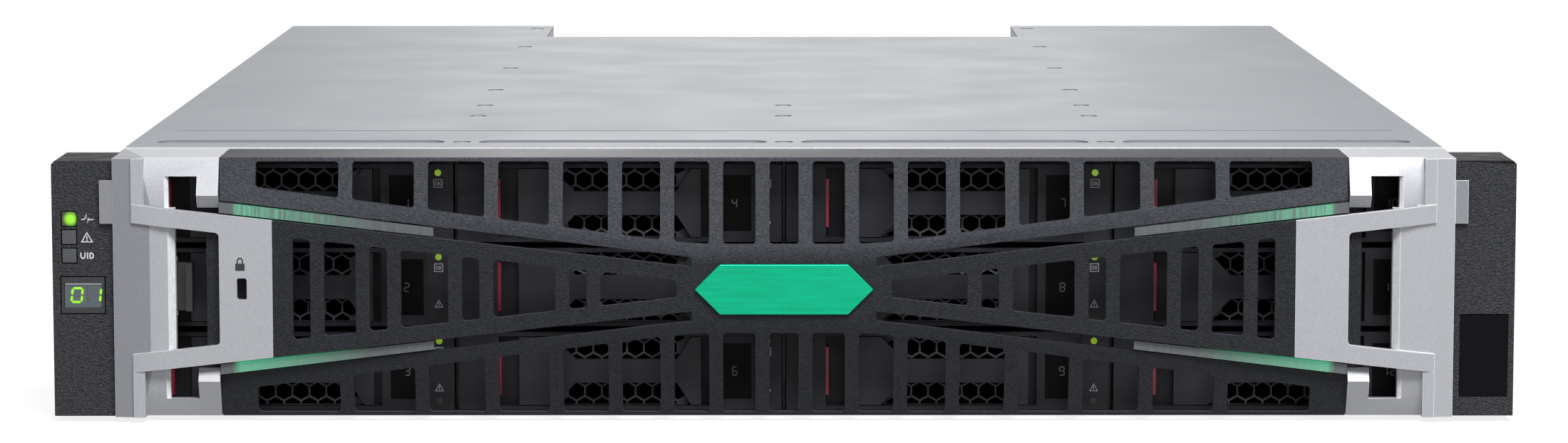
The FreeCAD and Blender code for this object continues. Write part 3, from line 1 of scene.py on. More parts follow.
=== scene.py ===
"""Looks of the rack storage array: finishes, printed marks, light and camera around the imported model."""
import bmesh
import bpy
import json
import math
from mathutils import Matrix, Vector
from mathutils.bvhtree import BVHTree


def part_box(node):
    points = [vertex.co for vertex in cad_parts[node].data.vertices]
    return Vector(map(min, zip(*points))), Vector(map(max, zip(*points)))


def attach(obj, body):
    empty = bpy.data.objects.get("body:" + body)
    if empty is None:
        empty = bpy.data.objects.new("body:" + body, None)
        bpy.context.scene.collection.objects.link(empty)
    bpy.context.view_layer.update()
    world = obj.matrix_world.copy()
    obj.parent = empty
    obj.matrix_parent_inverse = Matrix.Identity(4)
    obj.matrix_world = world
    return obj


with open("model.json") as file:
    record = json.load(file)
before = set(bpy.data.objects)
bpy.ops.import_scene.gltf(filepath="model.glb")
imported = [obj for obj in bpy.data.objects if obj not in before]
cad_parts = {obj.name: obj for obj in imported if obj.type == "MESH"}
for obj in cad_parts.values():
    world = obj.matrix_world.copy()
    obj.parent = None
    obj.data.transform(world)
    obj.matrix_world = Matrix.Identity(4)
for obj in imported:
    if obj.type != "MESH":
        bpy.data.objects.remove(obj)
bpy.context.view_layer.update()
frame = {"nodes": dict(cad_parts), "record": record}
NODES = frame["nodes"]
MM = 0.001

# Sizes of the carrier, measured from its lower left front corner or from its top
CATCH_START = 13.2 * MM
CATCH_WIDTH = 0.95 * MM
LABEL_START = 86.4 * MM
LABEL_WIDTH = 11.3 * MM
PIPE_X = 102.7 * MM
PIPE_RADIUS = 1.1 * MM
PIPE_SLACK = 0.4 * MM
PIPE_FROM_TOP = 2.9 * MM
FAULT_FROM_TOP = 22.8 * MM
OK_FROM_TOP = 6.5 * MM
WARNING_FROM_TOP = 18.6 * MM
FACE_DEPTH = 18.0 * MM
FACE_SKIN = 1.5 * MM
LEVER_SINK = 4.0 * MM
VENT_START = 31.5 * MM
VENT_END = 77.6 * MM
DISK_FROM_FRONT = 29.0 * MM
CARRIER_EDGE = 0.25 * MM
CAGE_NOSE = 14.0 * MM
FLOOR_TONGUE = 18.0 * MM
DRIVES = ["drive_%02d" % (number + 1) for number in range(12)]

# Painted shade on the outer band and painted highlights on the slanted edges of the end caps, measured from
# the end of the cap's tab and from its front
GRIP_EDGE_IN = 22.5 * MM
GRIP_EDGE_WIDTH = 2.1 * MM
PEEP_EDGE_IN = 21.3 * MM
PEEP_EDGE_WIDTH = 1.2 * MM
CAP_EDGE_SINK = 1.55 * MM
CAP_TAB = 4.3 * MM
CAP_BAND = 12.2 * MM

# Painted faces and the widths of rounded edges
PAINT_SLACK = 0.02 * MM
EAR_ROUND = 0.25 * MM
PLATE_ROUND = 0.15 * MM
DISPLAY_ROUND = 0.2 * MM
FRAME_ROUND = 0.45 * MM
CAP_ROUND = 0.4 * MM
EAR_TOP_DEPTH = 1.5 * MM

# Printed marks in general
PRINT_THICK = 0.05 * MM
SHARPEST = 0.4
BAR_GAP = 0.35

# Lamps and signs of the left ear. A sign's size is its width, its height and, where given, its line
LAMP_HALF = 2.35 * MM
LAMP_REACH = 2.5 * MM
GLOW_FROM_LEFT = 2.9 * MM
GLOW_CORE = 0.9 * MM
GLOW_EDGE = 2.6 * MM
ICON_LINE = 0.32 * MM
ICON_GAP = 5.9 * MM
HEARTBEAT_SIZE = (3.8 * MM, 3.2 * MM)
HEARTBEAT_SHIFT = 0.2 * MM
EAR_WARNING_SIZE = (3.5 * MM, 3.0 * MM)
LETTER_LINE = 0.4 * MM
LETTER_HEIGHT = 1.7 * MM
LETTERS = (("U", -1.38 * MM, 1.38 * MM), ("I", 0.15 * MM, 0.4 * MM), ("D", 1.5 * MM, 1.1 * MM))

# Display of the left ear. A digit's size is its width, height, line and lean
GLASS_SIDE = 1.0 * MM
GLASS_END = 1.9 * MM
GLASS_THICK = 0.2 * MM
# painted highlight along the top of the display glass: its line, thickness and inset
GLINT_LINE = 0.6 * MM
GLINT_THICK = 0.1 * MM
GLINT_IN = 0.6 * GLINT_LINE
DIGIT_SIZE = (3.3 * MM, 4.6 * MM, 0.75 * MM, 0.1)
TENS_SHIFT = -2.1 * MM
UNITS_SHIFT = 4.0 * MM
SPLIT_SHIFT = 1.4 * MM
SPLIT_SHARE = 0.9
SPLIT_LINE = 0.12 * MM

# Padlock, measured from its middle
LOCK_INSET = 6.9 * MM
LOCK_MARK_RISE = 8.0 * MM
LOCK_HALF = 1.55 * MM
LOCK_BELOW = 1.9 * MM
LOCK_ABOVE = 0.5 * MM
SHACKLE_RISE = 1.49 * MM
SHACKLE_SIZE = (1.7 * MM, 1.52 * MM, 0.45 * MM)

# Signs of a carrier
OK_BOX_SIZE = (2.8 * MM, 2.6 * MM)
OK_LETTERS = (("O", -0.55 * MM, 0.75 * MM), ("K", 0.6 * MM, 0.65 * MM))
OK_HEIGHT = 1.2 * MM
OK_LINE = 0.22 * MM
DRIVE_WARNING_SIZE = (2.6 * MM, 2.3 * MM)
DRIVE_LINE = 0.25 * MM
NUMBER_PITCH = 2.6 * MM
NUMBER_SIZE = (1.5 * MM, 2.8 * MM, 0.36 * MM)

# Rear details. A lens or screw head has a radius and a rise
LENS_SIDES = 24
LENS_RINGS = ((1.0, 0.0), (1.0, 0.45), (0.8, 0.8), (0.42, 0.97))
OPENING_INSET = 0.4 * MM
PORT_SHELL = 0.8 * MM
SHELL_THICK = 0.5 * MM
SOCKET_WALL = 2.5 * MM
SOCKET_DEPTH = 40 * MM
PORT_LAMP_GAP = 5.0 * MM
PORT_LAMP_RISE = 1.0 * MM
PORT_LAMP_PITCH = 3.6 * MM
PORT_LAMP = (1.1 * MM, 0.6 * MM)
SCREW_GAP = 7.0 * MM
SCREW = (3.0 * MM, 2.4 * MM)
CROSS_SINK = 0.1 * MM
CROSS_REACH = 1.4 * MM
CROSS_START = 0.51 * MM
CROSS_LINE = 0.5 * MM
CROSS_THICK = 0.12 * MM
INLET_SLACK = 0.6 * MM
INLET_DEPTH = 14.0 * MM
PIN_INSET = 2.0 * MM
PIN_REACH = 4.0 * MM
SWITCH_GAP = 6.0 * MM
SWITCH_SIGN_RISE = 5.0 * MM
SWITCH_SIGN_SIZE = (2.4 * MM, 3.0 * MM, 0.5 * MM)
SUPPLY_LAMP_RISE = 12.0 * MM
SUPPLY_LAMP = (1.5 * MM, 0.8 * MM)

# Photograph's camera
IMAGE_WIDTH = 2200
IMAGE_HEIGHT = 622
SENSOR = 36.0
VANISH_X = 1090.4
VANISH_Y = -448.2
FOCAL_PIXELS = 6747.0
CAMERA_DISTANCE = 1586 * MM
CAMERA_HEIGHT = 245 * MM
CAMERA_X = -2.26 * MM

# Light
WORLD_LIGHT = 0.14
FLOOR_GLOW = 0.82
FLOOR_REACH = 40.0
FLOOR_DROP = 0.3 * MM

# Painted light from above on the bezel: how far up a surface faces where the painted light starts and is
# full, and how pale it gets
UPWARD_LIGHT_START = 0.02
UPWARD_LIGHT_FULL = 0.22
UPWARD_LIGHT_FACTOR = 2.7

# Glow of the light bars, measured inwards from their outer ends
GUIDE_BRIGHT_IN = 8 * MM
GUIDE_DARK_IN = 50 * MM
GUIDE_DIM_START = 1.5 * MM
GUIDE_DIM_END = 4 * MM


def srgb(code):
    """Linear colour of a hexadecimal sRGB code."""
    parts = [int(code[i:i + 2], 16) / 255 for i in (1, 3, 5)]
    return tuple(c / 12.92 if c <= 0.04045 else ((c + 0.055) / 1.055) ** 2.4 for c in parts) + (1.0,)


# Materials

def new_material(name, colour, roughness, metallic=0.0, specular=0.5):
    """A material with one shader, its colour and its gloss set."""
    made = bpy.data.materials.new(name)
    made.use_nodes = True
    shader = made.node_tree.nodes["Principled BSDF"]
    shader.inputs["Base Color"].default_value = colour
    shader.inputs["Roughness"].default_value = roughness
    shader.inputs["Metallic"].default_value = metallic
    shader.inputs["Specular IOR Level"].default_value = specular
    return made, made.node_tree, shader


def noise(tree, size, detail=3.0, stretch=(1, 1, 1)):
    """Noise whose features are about size metres across, in the frame's own coordinates."""
    place = tree.nodes.new("ShaderNodeTexCoord")
    mapping = tree.nodes.new("ShaderNodeMapping")
    mapping.inputs["Scale"].default_value = stretch
    made = tree.nodes.new("ShaderNodeTexNoise")
    made.inputs["Scale"].default_value = 1 / size
    made.inputs["Detail"].default_value = detail
    tree.links.new(place.outputs["Object"], mapping.inputs["Vector"])
    tree.links.new(mapping.outputs["Vector"], made.inputs["Vector"])
    return made.outputs["Fac"]


def ramp(tree, value, stops):
    """Colours along a value."""
    made = tree.nodes.new("ShaderNodeValToRGB")
    elements = made.color_ramp.elements
    while len(elements) < len(stops):
        elements.new(0.5)
    for element, (position, colour) in zip(elements, stops):
        element.position = position
        element.color = colour
    tree.links.new(value, made.inputs["Fac"])
    return made.outputs["Color"]


def remap(tree, value, low, high, to_low, to_high):
    """A value moved from one range to another, and kept inside it."""
    made = tree.nodes.new("ShaderNodeMapRange")
    made.inputs["From Min"].default_value = low
    made.inputs["From Max"].default_value = high
    made.inputs["To Min"].default_value = to_low
    made.inputs["To Max"].default_value = to_high
    tree.links.new(value, made.inputs["Value"])
    return made.outputs["Result"]


def math_node(tree, operation, first, second):
    made = tree.nodes.new("ShaderNodeMath")
    made.operation = operation
    for socket, value in zip(made.inputs, (first, second)):
        if isinstance(value, (int, float)):
            socket.default_value = value
        else:
            tree.links.new(value, socket)
    return made.outputs["Value"]


def scaled(colour, factor):
    return tuple(min(1.0, c * factor) for c in colour[:3]) + (1.0,)


def mottle(tree, shader, colour, size, spread, stretch=(1, 1, 1)):
    """Slight changes of the colour over the surface."""
    value = noise(tree, size, 4.0, stretch)
    tint = ramp(tree, value, [(0.3, scaled(colour, 1 - spread)), (0.7, scaled(colour, 1 + spread))])
    tree.links.new(tint, shader.inputs["Base Color"])


def uneven_gloss(tree, shader, size, low, high, stretch=(1, 1, 1)):
    """Roughness that changes over the surface."""
    value = noise(tree, size, 3.0, stretch)
    tree.links.new(remap(tree, value, 0.3, 0.7, low, high), shader.inputs["Roughness"])


def grain(tree, shader, size, depth, detail=2.0, stretch=(1, 1, 1)):
    """Moulded or rolled texture as bump, with its real size and depth."""
    value = noise(tree, size, detail, stretch)
    made = tree.nodes.new("ShaderNodeBump")
    made.inputs["Distance"].default_value = depth
    tree.links.new(value, made.inputs["Height"])
    tree.links.new(made.outputs["Normal"], shader.inputs["Normal"])


def painted_upward_light(tree, shader, low, high, factor):
    """Painted light: paler colour where the surface turns upwards, standing in for the brighter light from
    above.
    """
    turn = tree.nodes.new("ShaderNodeNewGeometry")
    split = tree.nodes.new("ShaderNodeSeparateXYZ")
    tree.links.new(turn.outputs["Normal"], split.inputs["Vector"])
    paler = tree.nodes.new("ShaderNodeVectorMath")
    paler.operation = "SCALE"
    socket = shader.inputs["Base Color"]
    tree.links.new(socket.links[0].from_socket, paler.inputs[0])
    tree.links.new(remap(tree, split.outputs["Z"], low, high, 1.0, factor), paler.inputs["Scale"])
    tree.links.new(paler.outputs["Vector"], socket)


def moulded(name, code, size, depth, rough=(0.4, 0.55), spread=0.12, metallic=0.0, specular=0.4,
            lit_from_above=False):
    """Grained plastic or painted plastic."""
    colour = srgb(code)
    made, tree, shader = new_material(name, colour, rough[0], metallic, specular)
    mottle(tree, shader, colour, size * 2, spread)
    # painted light: faces turned upwards get a paler colour
    if lit_from_above:
        painted_upward_light(tree, shader, UPWARD_LIGHT_START, UPWARD_LIGHT_FULL, UPWARD_LIGHT_FACTOR)
    uneven_gloss(tree, shader, size * 8, *rough)
    grain(tree, shader, size, depth)
    return made


def sheet_metal(name, code, rough=(0.5, 0.62), metallic=0.3, specular=0.5):
    """Galvanised sheet with a faint grain."""
    colour = srgb(code)
    made, tree, shader = new_material(name, colour, rough[0], metallic, specular)
    mottle(tree, shader, colour, 60 * MM, 0.015)
    uneven_gloss(tree, shader, 45 * MM, *rough)
    grain(tree, shader, 0.4 * MM, 0.0015 * MM)
    return made


def plain(name, code, rough, metallic=0.0, size=2 * MM, spread=0.08, specular=0.4):
    """Smooth plastic, paint or metal with faint unevenness."""
    colour = srgb(code)
    made, tree, shader = new_material(name, colour, rough, metallic, specular)
    mottle(tree, shader, colour, size, spread)
    uneven_gloss(tree, shader, size * 4, rough * 0.85, min(1.0, rough * 1.2))
    return made


def distance_from(tree, point):
    """Distance of the surface from a point of the frame."""
    place = tree.nodes.new("ShaderNodeTexCoord")
    made = tree.nodes.new("ShaderNodeVectorMath")
    made.operation = "DISTANCE"
    made.inputs[1].default_value = point
    tree.links.new(place.outputs["Object"], made.inputs[0])
    return made.outputs["Value"]


def lamp(name, code, strength, dark="#20240F", glow=None):
    """A lit window. With a glow (a centre and two radii) the light fades between the radii."""
    made, tree, shader = new_material(name, srgb(dark), 0.35)
    shader.inputs["Emission Color"].default_value = srgb(code)
    shader.inputs["Emission Strength"].default_value = strength
    if glow:
        centre, inner, outer = glow
        fade = remap(tree, distance_from(tree, centre), inner, outer, strength, 0.0)
        tree.links.new(fade, shader.inputs["Emission Strength"])
    return made


def light_guide(name, code, lit_code, bright, dark):
    """A frosted strip, lit from its outer end. In the upper strips the glow breaks into upright lines."""
    colour = srgb(code)
    made, tree, shader = new_material(name, colour, 0.32)
    mottle(tree, shader, colour, 1.2 * MM, 0.15, (1, 1, 0.2))
    place = tree.nodes.new("ShaderNodeTexCoord")
    split = tree.nodes.new("ShaderNodeSeparateXYZ")
    tree.links.new(place.outputs["Object"], split.inputs["Vector"])
    out = math_node(tree, "ABSOLUTE", split.outputs["X"], 0.0)
    fade = remap(tree, out, dark, bright, 0.0, 1.0)
    end = remap(tree, out, bright + GUIDE_DIM_START, bright + GUIDE_DIM_END, 1.0, 0.0)
    lines = remap(tree, noise(tree, 0.9 * MM, 4.0, (1, 1, 0.04)), 0.32, 0.68, 0.1, 0.85)
    badge_z = middle_of("bezel_badge").z
    streaks = remap(tree, split.outputs["Z"], badge_z, badge_z + 1 * MM, 0.0, 1.0)
    even = math_node(tree, "MULTIPLY", math_node(tree, "SUBTRACT", 1.0, streaks), 0.55)
    lines = math_node(tree, "ADD", math_node(tree, "MULTIPLY", lines, streaks), even)
    glow = math_node(tree, "MULTIPLY", math_node(tree, "MULTIPLY", fade, end), lines)
    shader.inputs["Emission Color"].default_value = srgb(lit_code)
    tree.links.new(glow, shader.inputs["Emission Strength"])
    return made


def brushed(name, code, rough=0.34, metallic=0.75):
    """Metallic foil brushed along X."""
    colour = srgb(code)
    made, tree, shader = new_material(name, colour, rough, metallic)
    mottle(tree, shader, colour, 1.5 * MM, 0.14, (0.08, 1, 1))
    uneven_gloss(tree, shader, 1.0 * MM, rough * 0.8, rough * 1.25, (0.06, 1, 1))
    grain(tree, shader, 0.4 * MM, 0.01 * MM, 2.0, (0.05, 1, 1))
    return made


def vent_light_recess_shade(name, code, lit_web_code):
    """Carrier plastic with painted light and shade: paler over each carrier's vent as painted light on its
    webs, darker elsewhere in the recess as painted shade.
    """
    made, tree, shader = new_material(name, srgb(code), 0.45, 0.0, 0.15)
    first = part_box("drive_01_carrier")[0].x
    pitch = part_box("drive_04_carrier")[0].x - first
    place = tree.nodes.new("ShaderNodeTexCoord")
    split = tree.nodes.new("ShaderNodeSeparateXYZ")
    tree.links.new(place.outputs["Object"], split.inputs["Vector"])
    along = math_node(tree, "FLOORED_MODULO", math_node(tree, "SUBTRACT", split.outputs["X"], first), pitch)
    begun = remap(tree, along, VENT_START, VENT_START + 1 * MM, 0.0, 1.0)
    going = remap(tree, along, VENT_END - 1 * MM, VENT_END, 1.0, 0.0)
    tint = ramp(tree, math_node(tree, "MULTIPLY", begun, going), [(0.0, srgb(code)), (1.0, srgb(lit_web_code))])
    tree.links.new(tint, shader.inputs["Base Color"])
    uneven_gloss(tree, shader, 8 * MM, 0.4, 0.55)
    return made


def middle_of(node):
    low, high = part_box(node)
    return (low + high) / 2


lamps_low, lamps_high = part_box("status_lights")
health_z = lamps_high.z - (lamps_high.x - lamps_low.x) / 2
health_centre = (lamps_low.x + GLOW_FROM_LEFT, lamps_low.y, health_z)
caps_inner = -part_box("bezel_light_bars")[0].x

COVER = sheet_metal("galvanised_cover", "#84878C", (0.52, 0.58), specular=0.2)
STEEL = sheet_metal("galvanised_chassis", "#A6A8AC")
MODULE = sheet_metal("zinc_module", "#9DA0A4")
RIVET = plain("bright_rivet", "#A7A8AB", 0.35, 0.8)
FASTENER = plain("dull_rivet", "#6E7176", 0.5, 0.3, specular=0.1)
EAR = moulded("ear_grain", "#2A2B2F", 0.6 * MM, 0.8 * MM, (0.36, 0.48), 0.6, 0.0, 0.25)
EAR_TOP = plain("ear_top", "#0C0C0E", 0.6, 0.0, 2 * MM, 0.1, 0.15)
# painted highlight on the bezel frame's rounded edges
BEZEL_HIGHLIGHT = plain("bezel_edge", "#6E6F74", 0.4, specular=0.2)
BEZEL_ROOF = plain("bezel_roof", "#2A2B2E", 0.5, 0.0, 40 * MM, 0.02, 0.05)
# the bezel's upward-facing faces get painted light from above
BEZEL = moulded("bezel_grain", "#26272B", 0.55 * MM, 0.35 * MM, (0.38, 0.5), 0.3, 0.0, 0.12, True)
SILVER = moulded("silver_paint", "#A9AAAF", 0.45 * MM, 0.05 * MM, (0.4, 0.47), 0.05, 0.2, 0.4)
# painted highlight on the caps' rounded and slanted edges and on the cover's front lip
SILVER_HIGHLIGHT = plain("silver_edge", "#E6E7EA", 0.35)
# painted shade: darker silver on the caps' outer end and on the left cap's outer band
SILVER_SHADE = moulded("silver_band", "#86878D", 0.45 * MM, 0.05 * MM, (0.4, 0.47), 0.05, 0.2, 0.4)
FLANGE = plain("flange_paint", "#232427", 0.45)
CARRIER = plain("carrier_plastic", "#2A2B2F", 0.45, specular=0.15)
# painted light on the carriers' vent webs and painted shade in the recess beside them
VENT_LIGHT_RECESS_SHADE = vent_light_recess_shade("vent_web", "#1D1E21", "#5A5B60")
DEEP = plain("shaded_inside", "#050506", 0.8, specular=0.0)
LEVER = plain("lever_plastic", "#303136", 0.42, specular=0.2)
LABEL = plain("label_film", "#0A0A0C", 0.4, specular=0.05)
CATCH = plain("release_red", "#8E1F3F", 0.35)
DISK = plain("disk_case", "#7E8084", 0.4, 0.7)
GLOSS_BLACK = plain("gloss_plate", "#0B0C0E", 0.15, specular=0.06)
DISPLAY_FRAME = plain("display_frame", "#2C2D30", 0.25)
DISPLAY_GLASS = plain("display_glass", "#565E63", 0.2)
WINDOW = plain("lamp_window", "#4A4B4E", 0.3)
LIT_GREEN = lamp("lit_health", "#9BFF00", 1.0, "#39402A", (health_centre, GLOW_CORE, GLOW_EDGE))
DIGIT = lamp("lit_digit", "#9BFF00", 1.0)
DIM_DIGIT = plain("unlit_digit", "#565D61", 0.35)
DRIVE_GREEN = lamp("lit_drive", "#8FB81C", 0.6)
# dark unlit lamps, also used as painted shade in the screws' cross slots
DARK_LAMP_AND_SHADE = plain("unlit_lamp", "#2B2A27", 0.25)
BLUE_LAMP = plain("blue_lamp", "#2A3A66", 0.25)
BADGE = brushed("badge_green", "#00A77B")
GUIDE = light_guide("light_guide", "#56595C", "#3FC28C", caps_inner - GUIDE_BRIGHT_IN,
                    caps_inner - GUIDE_DARK_IN)
BOARD = plain("circuit_board", "#1D4B30", 0.45)
BLACK = plain("black_plastic", "#1B1C1E", 0.45)
EJECTOR = plain("ejector_red", "#7C1C38", 0.42)
PRINT = plain("white_print", "#D7D8DA", 0.5)
GREY_PRINT = plain("grey_print", "#B4B5B9", 0.5)
DIM_PRINT = plain("dim_print", "#5E6064", 0.5)
DARK_PRINT = plain("dark_print", "#26272A", 0.5)


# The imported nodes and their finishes

def soften(item, width, highlight=None, segments=2, angle=35):
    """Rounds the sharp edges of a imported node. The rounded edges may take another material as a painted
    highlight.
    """
    weld = item.modifiers.new("weld", "WELD")
    weld.merge_threshold = 0.002 * MM
    flat = item.modifiers.new("flat", "DECIMATE")
    flat.decimate_type = "DISSOLVE"
    flat.angle_limit = math.radians(1.5)
    flat.delimit = {"MATERIAL"}
    edge = item.modifiers.new("edge", "BEVEL")
    edge.width = width
    edge.segments = segments
    edge.limit_method = "ANGLE"
    edge.angle_limit = math.radians(angle)
    edge.use_clamp_overlap = True
    if highlight:
        item.data.materials.append(highlight)
        edge.material = len(item.data.materials) - 1
    for face in item.data.polygons:
        face.use_smooth = True
    even = item.modifiers.new("even", "WEIGHTED_NORMAL")
    even.weight = 100


def finish_node(name, made, width=0.0, highlight=None):
    """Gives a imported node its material, and rounded edges if a width is given."""
    item = NODES[name]
    item.data.materials.clear()
    item.data.materials.append(made)
    if width > 0:
        soften(item, width, highlight)
    return item


def paint_inside(item, made, low, high):
    """Another material on the faces whose corners all lie in a box."""
    slots = item.data.materials
    if made.name not in slots:
        slots.append(made)
    index = slots.find(made.name)
    inside = [all(low[i] - PAINT_SLACK <= v.co[i] <= high[i] + PAINT_SLACK for i in range(3))
              for v in item.data.vertices]
    for face in item.data.polygons:
        if all(inside[v] for v in face.vertices):
            face.material_index = index


def paint_cap(name, side):
    """Finish of an end cap: painted highlights on its rounded edges and on the slanted edges at its
    openings, and painted shade on its outer end and, on the left, on its outer band.
    """
    cap = finish_node(name, SILVER, CAP_ROUND, SILVER_HIGHLIGHT)
    low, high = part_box(name)
    end = high.x if side > 0 else low.x
    # the left cap's outer band takes painted shade, the right one stays plain silver
    band = SILVER_SHADE if side < 0 else SILVER
    strips = ((0, CAP_TAB, SILVER_SHADE), (CAP_TAB, CAP_BAND, band),
              (GRIP_EDGE_IN, GRIP_EDGE_WIDTH, SILVER_HIGHLIGHT), (PEEP_EDGE_IN, PEEP_EDGE_WIDTH, SILVER_HIGHLIGHT))
    for start, width, made in strips:
        places = sorted((end - side * start, end - side * (start + width)))
        paint_inside(cap, made, (places[0], low.y + CAP_EDGE_SINK, low.z), (places[1], high.y, high.z))


def paint_drive(drive):
    """Finishes of one carrier: its catch, label, lamps and disk, with painted light on its vent webs and
    painted shade in its recess and inside.
    """
    carrier = finish_node(drive + "_carrier", CARRIER)
    finish_node(drive + "_lever", LEVER, CARRIER_EDGE)
    low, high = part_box(drive + "_carrier")
    catch = low.x + CATCH_START
    paint_inside(carrier, CATCH, (catch, low.y, low.z), (catch + CATCH_WIDTH, low.y + LEVER_SINK, high.z))
    label = low.x + LABEL_START
    paint_inside(carrier, LABEL, (label, low.y, low.z), (label + LABEL_WIDTH, low.y + LEVER_SINK, high.z))
    for drop, made in ((PIPE_FROM_TOP, DRIVE_GREEN), (FAULT_FROM_TOP, DARK_LAMP_AND_SHADE)):
        reach = PIPE_RADIUS + PIPE_SLACK
        centre = (low.x + PIPE_X, high.z - drop)
        paint_inside(carrier, made, (centre[0] - reach, low.y, centre[1] - reach),
                     (centre[0] + reach, low.y + FACE_DEPTH, centre[1] + reach))
    sunk = low.y + LEVER_SINK
    # the vent webs take painted light, the rest of the recess takes painted shade
    paint_inside(carrier, VENT_LIGHT_RECESS_SHADE, (low.x, sunk, low.z), (high.x, sunk + FACE_SKIN, high.z))
    paint_inside(carrier, DEEP, (low.x, sunk + FACE_SKIN, low.z), (high.x, low.y + FACE_DEPTH, high.z))
    paint_inside(carrier, DISK, (low.x, low.y + FACE_DEPTH + LEVER_SINK, low.z), tuple(high))
    front = low.y + DISK_FROM_FRONT
    paint_inside(carrier, DEEP, (low.x, front, low.z), (high.x, front, high.z))


cover = finish_node("top_cover", COVER)
cover_low, cover_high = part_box("top_cover")
# the cover's front lip takes a painted highlight
paint_inside(cover, SILVER_HIGHLIGHT, tuple(cover_low), (cover_high.x, cover_low.y, cover_high.z))
base = finish_node("chassis_base", STEEL)
base_low, base_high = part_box("chassis_base")
paint_inside(base, FLANGE, tuple(base_low), (base_high.x, base_low.y + FLOOR_TONGUE, base_high.z))
cage = finish_node("drive_cage", STEEL)
cage_low, cage_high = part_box("drive_cage")
paint_inside(cage, FLANGE, tuple(cage_low), (cage_high.x, cage_low.y + CAGE_NOSE, cage_high.z))
finish_node("rack_flanges", FLANGE)
finish_node("chassis_fasteners", FASTENER)
for side in ("left", "right"):
    ear = finish_node(side + "_ear_cover", EAR, EAR_ROUND)
    low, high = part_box(side + "_ear_cover")
    paint_inside(ear, EAR_TOP, (low.x, low.y, high.z - EAR_TOP_DEPTH), tuple(high))
finish_node("info_plate", GLOSS_BLACK, PLATE_ROUND)
finish_node("ops_display", DISPLAY_FRAME, DISPLAY_ROUND)
health = finish_node("status_lights", WINDOW, EAR_ROUND)
paint_inside(health, LIT_GREEN, (lamps_low.x, lamps_low.y, health_z - LAMP_REACH), tuple(lamps_high))
finish_node("uid_button", WINDOW, EAR_ROUND)
finish_node("midplane", BOARD)
finish_node("midplane_connectors", BLACK)
# the bezel frame's rounded edges take a painted highlight
lattice = finish_node("bezel_frame", BEZEL, FRAME_ROUND, BEZEL_HIGHLIGHT)
lattice_low, lattice_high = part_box("bezel_frame")
paint_inside(lattice, BEZEL_ROOF, (lattice_low.x, lattice_low.y, lattice_high.z), tuple(lattice_high))
finish_node("bezel_light_bars", GUIDE)
finish_node("bezel_badge", BADGE, CAP_ROUND)
paint_cap("bezel_left_cap", -1)
paint_cap("bezel_right_cap", 1)
finish_node("bezel_latch", BLACK)
for level in ("lower", "upper"):
    finish_node("controller_%s_case" % level, MODULE)
    finish_node("controller_%s_board" % level, BOARD)
    for side in ("left", "right"):
        finish_node("controller_%s_%s_ejector" % (level, side), EJECTOR, CAP_ROUND)
for side in ("left", "right"):
    finish_node("power_%s_case" % side, MODULE)
    finish_node("power_%s_fan" % side, BLACK)
    finish_node("power_%s_handle" % side, BLACK)
    finish_node("power_%s_switch" % side, BLACK)
for drive in DRIVES:
    paint_drive(drive)


# Printed marks: thin plates on the surfaces that carry them

SIGNS = {
    "O": [[(0.3, 0), (0.7, 0), (1, 0.3), (1, 0.7), (0.7, 1), (0.3, 1), (0, 0.7), (0, 0.3), (0.3, 0)]],
    "K": [[(0, 0), (0, 1)], [(1, 1), (0.4, 0.5), (1, 0)]],
    "U": [[(0, 1), (0, 0.3), (0.3, 0), (0.7, 0), (1, 0.3), (1, 1)]],
    "I": [[(0.5, 0), (0.5, 1)]],
    "D": [[(0, 0), (0, 1), (0.6, 1), (1, 0.65), (1, 0.35), (0.6, 0), (0, 0)]],
    "heartbeat": [[(0, 0.45), (0.22, 0.45), (0.32, 0.62), (0.42, 1), (0.52, 0), (0.6, 0.55), (0.7, 0.4),
                   (1, 0.45)]],
    "warning": [[(0, 0), (1, 0), (0.5, 1), (0, 0)], [(0.5, 0.62), (0.5, 0.34)], [(0.5, 0.2), (0.5, 0.16)]],
    "box": [[(0, 0), (1, 0), (1, 1), (0, 1), (0, 0)]],
    "shackle": [[(0, 0), (0, 0.55), (0.3, 1), (0.7, 1), (1, 0.55), (1, 0)]],
}
DIGIT_LINES = {"a": ((0, 1), (1, 1)), "b": ((1, 1), (1, 0.5)), "c": ((1, 0.5), (1, 0)),
               "d": ((0, 0), (1, 0)), "e": ((0, 0.5), (0, 0)), "f": ((0, 1), (0, 0.5)),
               "g": ((0, 0.5), (1, 0.5))}
DIGITS = {"0": "abcdef", "1": "bc", "2": "abged", "3": "abgcd", "4": "fgbc", "5": "afgcd", "6": "afgecd",
          "7": "abc", "8": "abcdefg", "9": "abcdfg"}


def heading(start, end):
    """Direction from one point to another, one long."""
    run = math.hypot(end[0] - start[0], end[1] - start[1])
    return (end[0] - start[0]) / run, (end[1] - start[1]) / run


def stroke(points, width):
    """Outlines of a line drawn through points: one if its ends are free, two halves if it closes."""
    closed = points[0] == points[-1]
    steps = [heading(start, end) for start, end in zip(points, points[1:])]
    last = len(steps)
    left = []
    right = []
    for i, (x, z) in enumerate(points):
        before = steps[i - 1] if closed or i > 0 else steps[0]
        after = steps[i % last] if closed or i < last else steps[-1]
        lean = max(SHARPEST, 1 + before[0] * after[0] + before[1] * after[1])
        across = (-(before[1] + after[1]) / lean * width / 2, (before[0] + after[0]) / lean * width / 2)
        reach = 0 if closed else width / 2 * ((i == last) - (i == 0))
        x, z = x + after[0] * reach, z + after[1] * reach
        left.append((x + across[0], z + across[1]))
        right.append((x - across[0], z - across[1]))
    cuts = (0, last // 2, last) if closed else (0, last)
    return [left[a:b + 1] + right[a:b + 1][::-1] for a, b in zip(cuts, cuts[1:])]


def sign(name, x, z, width, height, line):
    """A sign drawn with strokes, its middle at x and z."""
    made = []
    for points in SIGNS[name]:
        placed = [(x + (u - 0.5) * width, z + (v - 0.5) * height) for u, v in points]
        made += stroke(placed, line)
    return made


